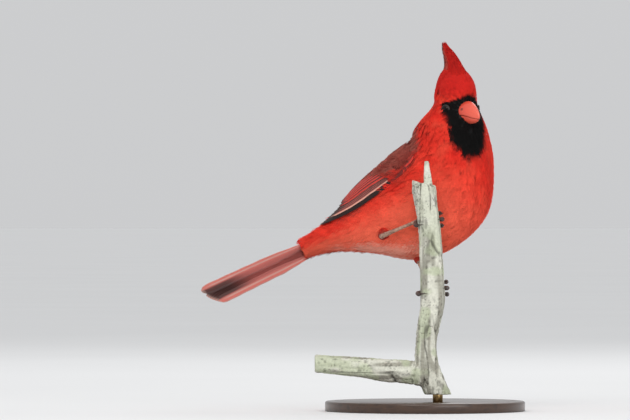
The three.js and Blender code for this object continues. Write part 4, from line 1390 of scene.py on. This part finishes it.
def make_stand():
    low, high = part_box("stand_base")
    radius, top = (high[0] - low[0]) / 2 / MM, high[2] / MM
    outline = [(radius - 0.6, 0.0), (radius, 0.6)]
    for a in np.linspace(math.pi / 2, 0, 7):
        outline.append((radius - 1.2 + 1.2 * math.sin(a), top - 1.2 + 1.2 * math.cos(a)))
    outline += [(radius - 5, top), (radius - 5.6, top - 0.35), (radius - 6.4, top - 0.35), (radius - 7, top)]
    outline.append((3.4, top))
    base = lathe("base_disc", outline, 160, (0, 0), "base_wood", "stand_base")
    stain = {"Coat_Weight": 0.35, "Coat_Roughness": 0.2}
    dress(base, ramp_material("base_stain", 0.32, 30.0, STAIN_STOPS, (1, 9, 9), 0.00005, **stain))
    low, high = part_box("stand_rod")
    middle = ((low[0] + high[0]) / 2 / MM, (low[1] + high[1]) / 2 / MM)
    radius = (high[0] - low[0]) / 2 / MM
    outline = [(radius, low[2] / MM + 3), (radius, high[2] / MM - 3)]
    rod = lathe("rod_brass", outline, 48, middle, "rod_metal", "stand_rod")
    dress(rod, ramp_material("brushed_brass", 0.3, 60.0, BRASS_STOPS, (1, 1, 12), 0.00001, Metallic=1.0))


# Studio

def make_sky():
    world = bpy.data.worlds.new("studio")
    scene.world = world
    world.use_nodes = True
    tree = world.node_tree
    sky = node(tree, "ShaderNodeTexCoord")
    parts = node(tree, "ShaderNodeSeparateXYZ")
    ramp = ramp_node(tree, SKY_STOPS)
    tree.links.new(sky.outputs["Generated"], parts.inputs[0])
    tree.links.new(parts.outputs["Z"], ramp.inputs["Fac"])
    tree.links.new(ramp.outputs["Color"], tree.nodes["Background"].inputs["Color"])


def make_studio():
    make_sky()
    mesh = bpy.data.meshes.new("floor")
    half = 40.0
    corners = [(-half, -half, 0), (half, -half, 0), (half, half, 0), (-half, half, 0)]
    mesh.from_pydata(corners, [], [(0, 1, 2, 3)])
    floor = bpy.data.objects.new("floor", mesh)
    scene.collection.objects.link(floor)
    floor.data.materials.append(ramp_material("pale_floor", 0.9, 3.0, FLOOR_STOPS))
    for name, place, size, power, colour in LIGHTS:
        data = bpy.data.lights.new(name, "AREA")
        data.size, data.energy, data.color = size, power, colour
        lamp = bpy.data.objects.new(name, data)
        lamp.location = place
        lamp.rotation_mode = "QUATERNION"
        lamp.rotation_quaternion = (Vector((0, 0, 0.13)) - Vector(place)).to_track_quat("-Z", "Y")
        scene.collection.objects.link(lamp)


def make_camera():
    """A level long-lens view along +Y that keeps the photograph's framing."""
    data = bpy.data.cameras.new("camera")
    data.sensor_width = SENSOR_WIDTH
    data.lens = SENSOR_WIDTH * CAMERA["distance"] / CAMERA["across"]
    camera = bpy.data.objects.new("camera", data)
    camera.location = (CAMERA["x"], -CAMERA["distance"], CAMERA["height"])
    camera.rotation_euler = (math.pi / 2, 0, 0)
    data.clip_end = 200.0
    scene.collection.objects.link(camera)
    scene.camera = camera


COAT = tinted_material("plumage_coat", 0.75, 1300.0, 0.14, Sheen_Weight=0.0, Specular_IOR_Level=0.12)
VANE = vane_material()
BILL_HORN = tinted_material("bill_horn", 0.38, 500.0, 0.06, 0.00003, Coat_Weight=0.2)
EYE_WET = tinted_material("eye_wet", 0.06, 300.0, 0.05, Specular_IOR_Level=0.2)
LID = tinted_material("lid_skin", 0.55, 2600.0, 0.3, 0.0001)
SHANK_SKIN = ramp_material("shank_skin", 0.5, 700.0, SHANK_STOPS, bump_depth=0.0001)
TOE_SKIN = ramp_material("toe_skin", 0.42, 700.0, TOE_STOPS, bump_depth=0.0001)
CLAW_HORN = ramp_material("claw_horn", 0.32, 500.0, CLAW_STOPS)

scene.view_settings.view_transform = "Standard"
make_camera()
make_studio()
make_stand()
make_perch()
make_legs()
make_skin()
make_tail()
make_wing("feathers_wing_right", 1)
make_wing("feathers_wing_left", -1)
make_bill()
make_eyes()
make_coat()
make_crest()
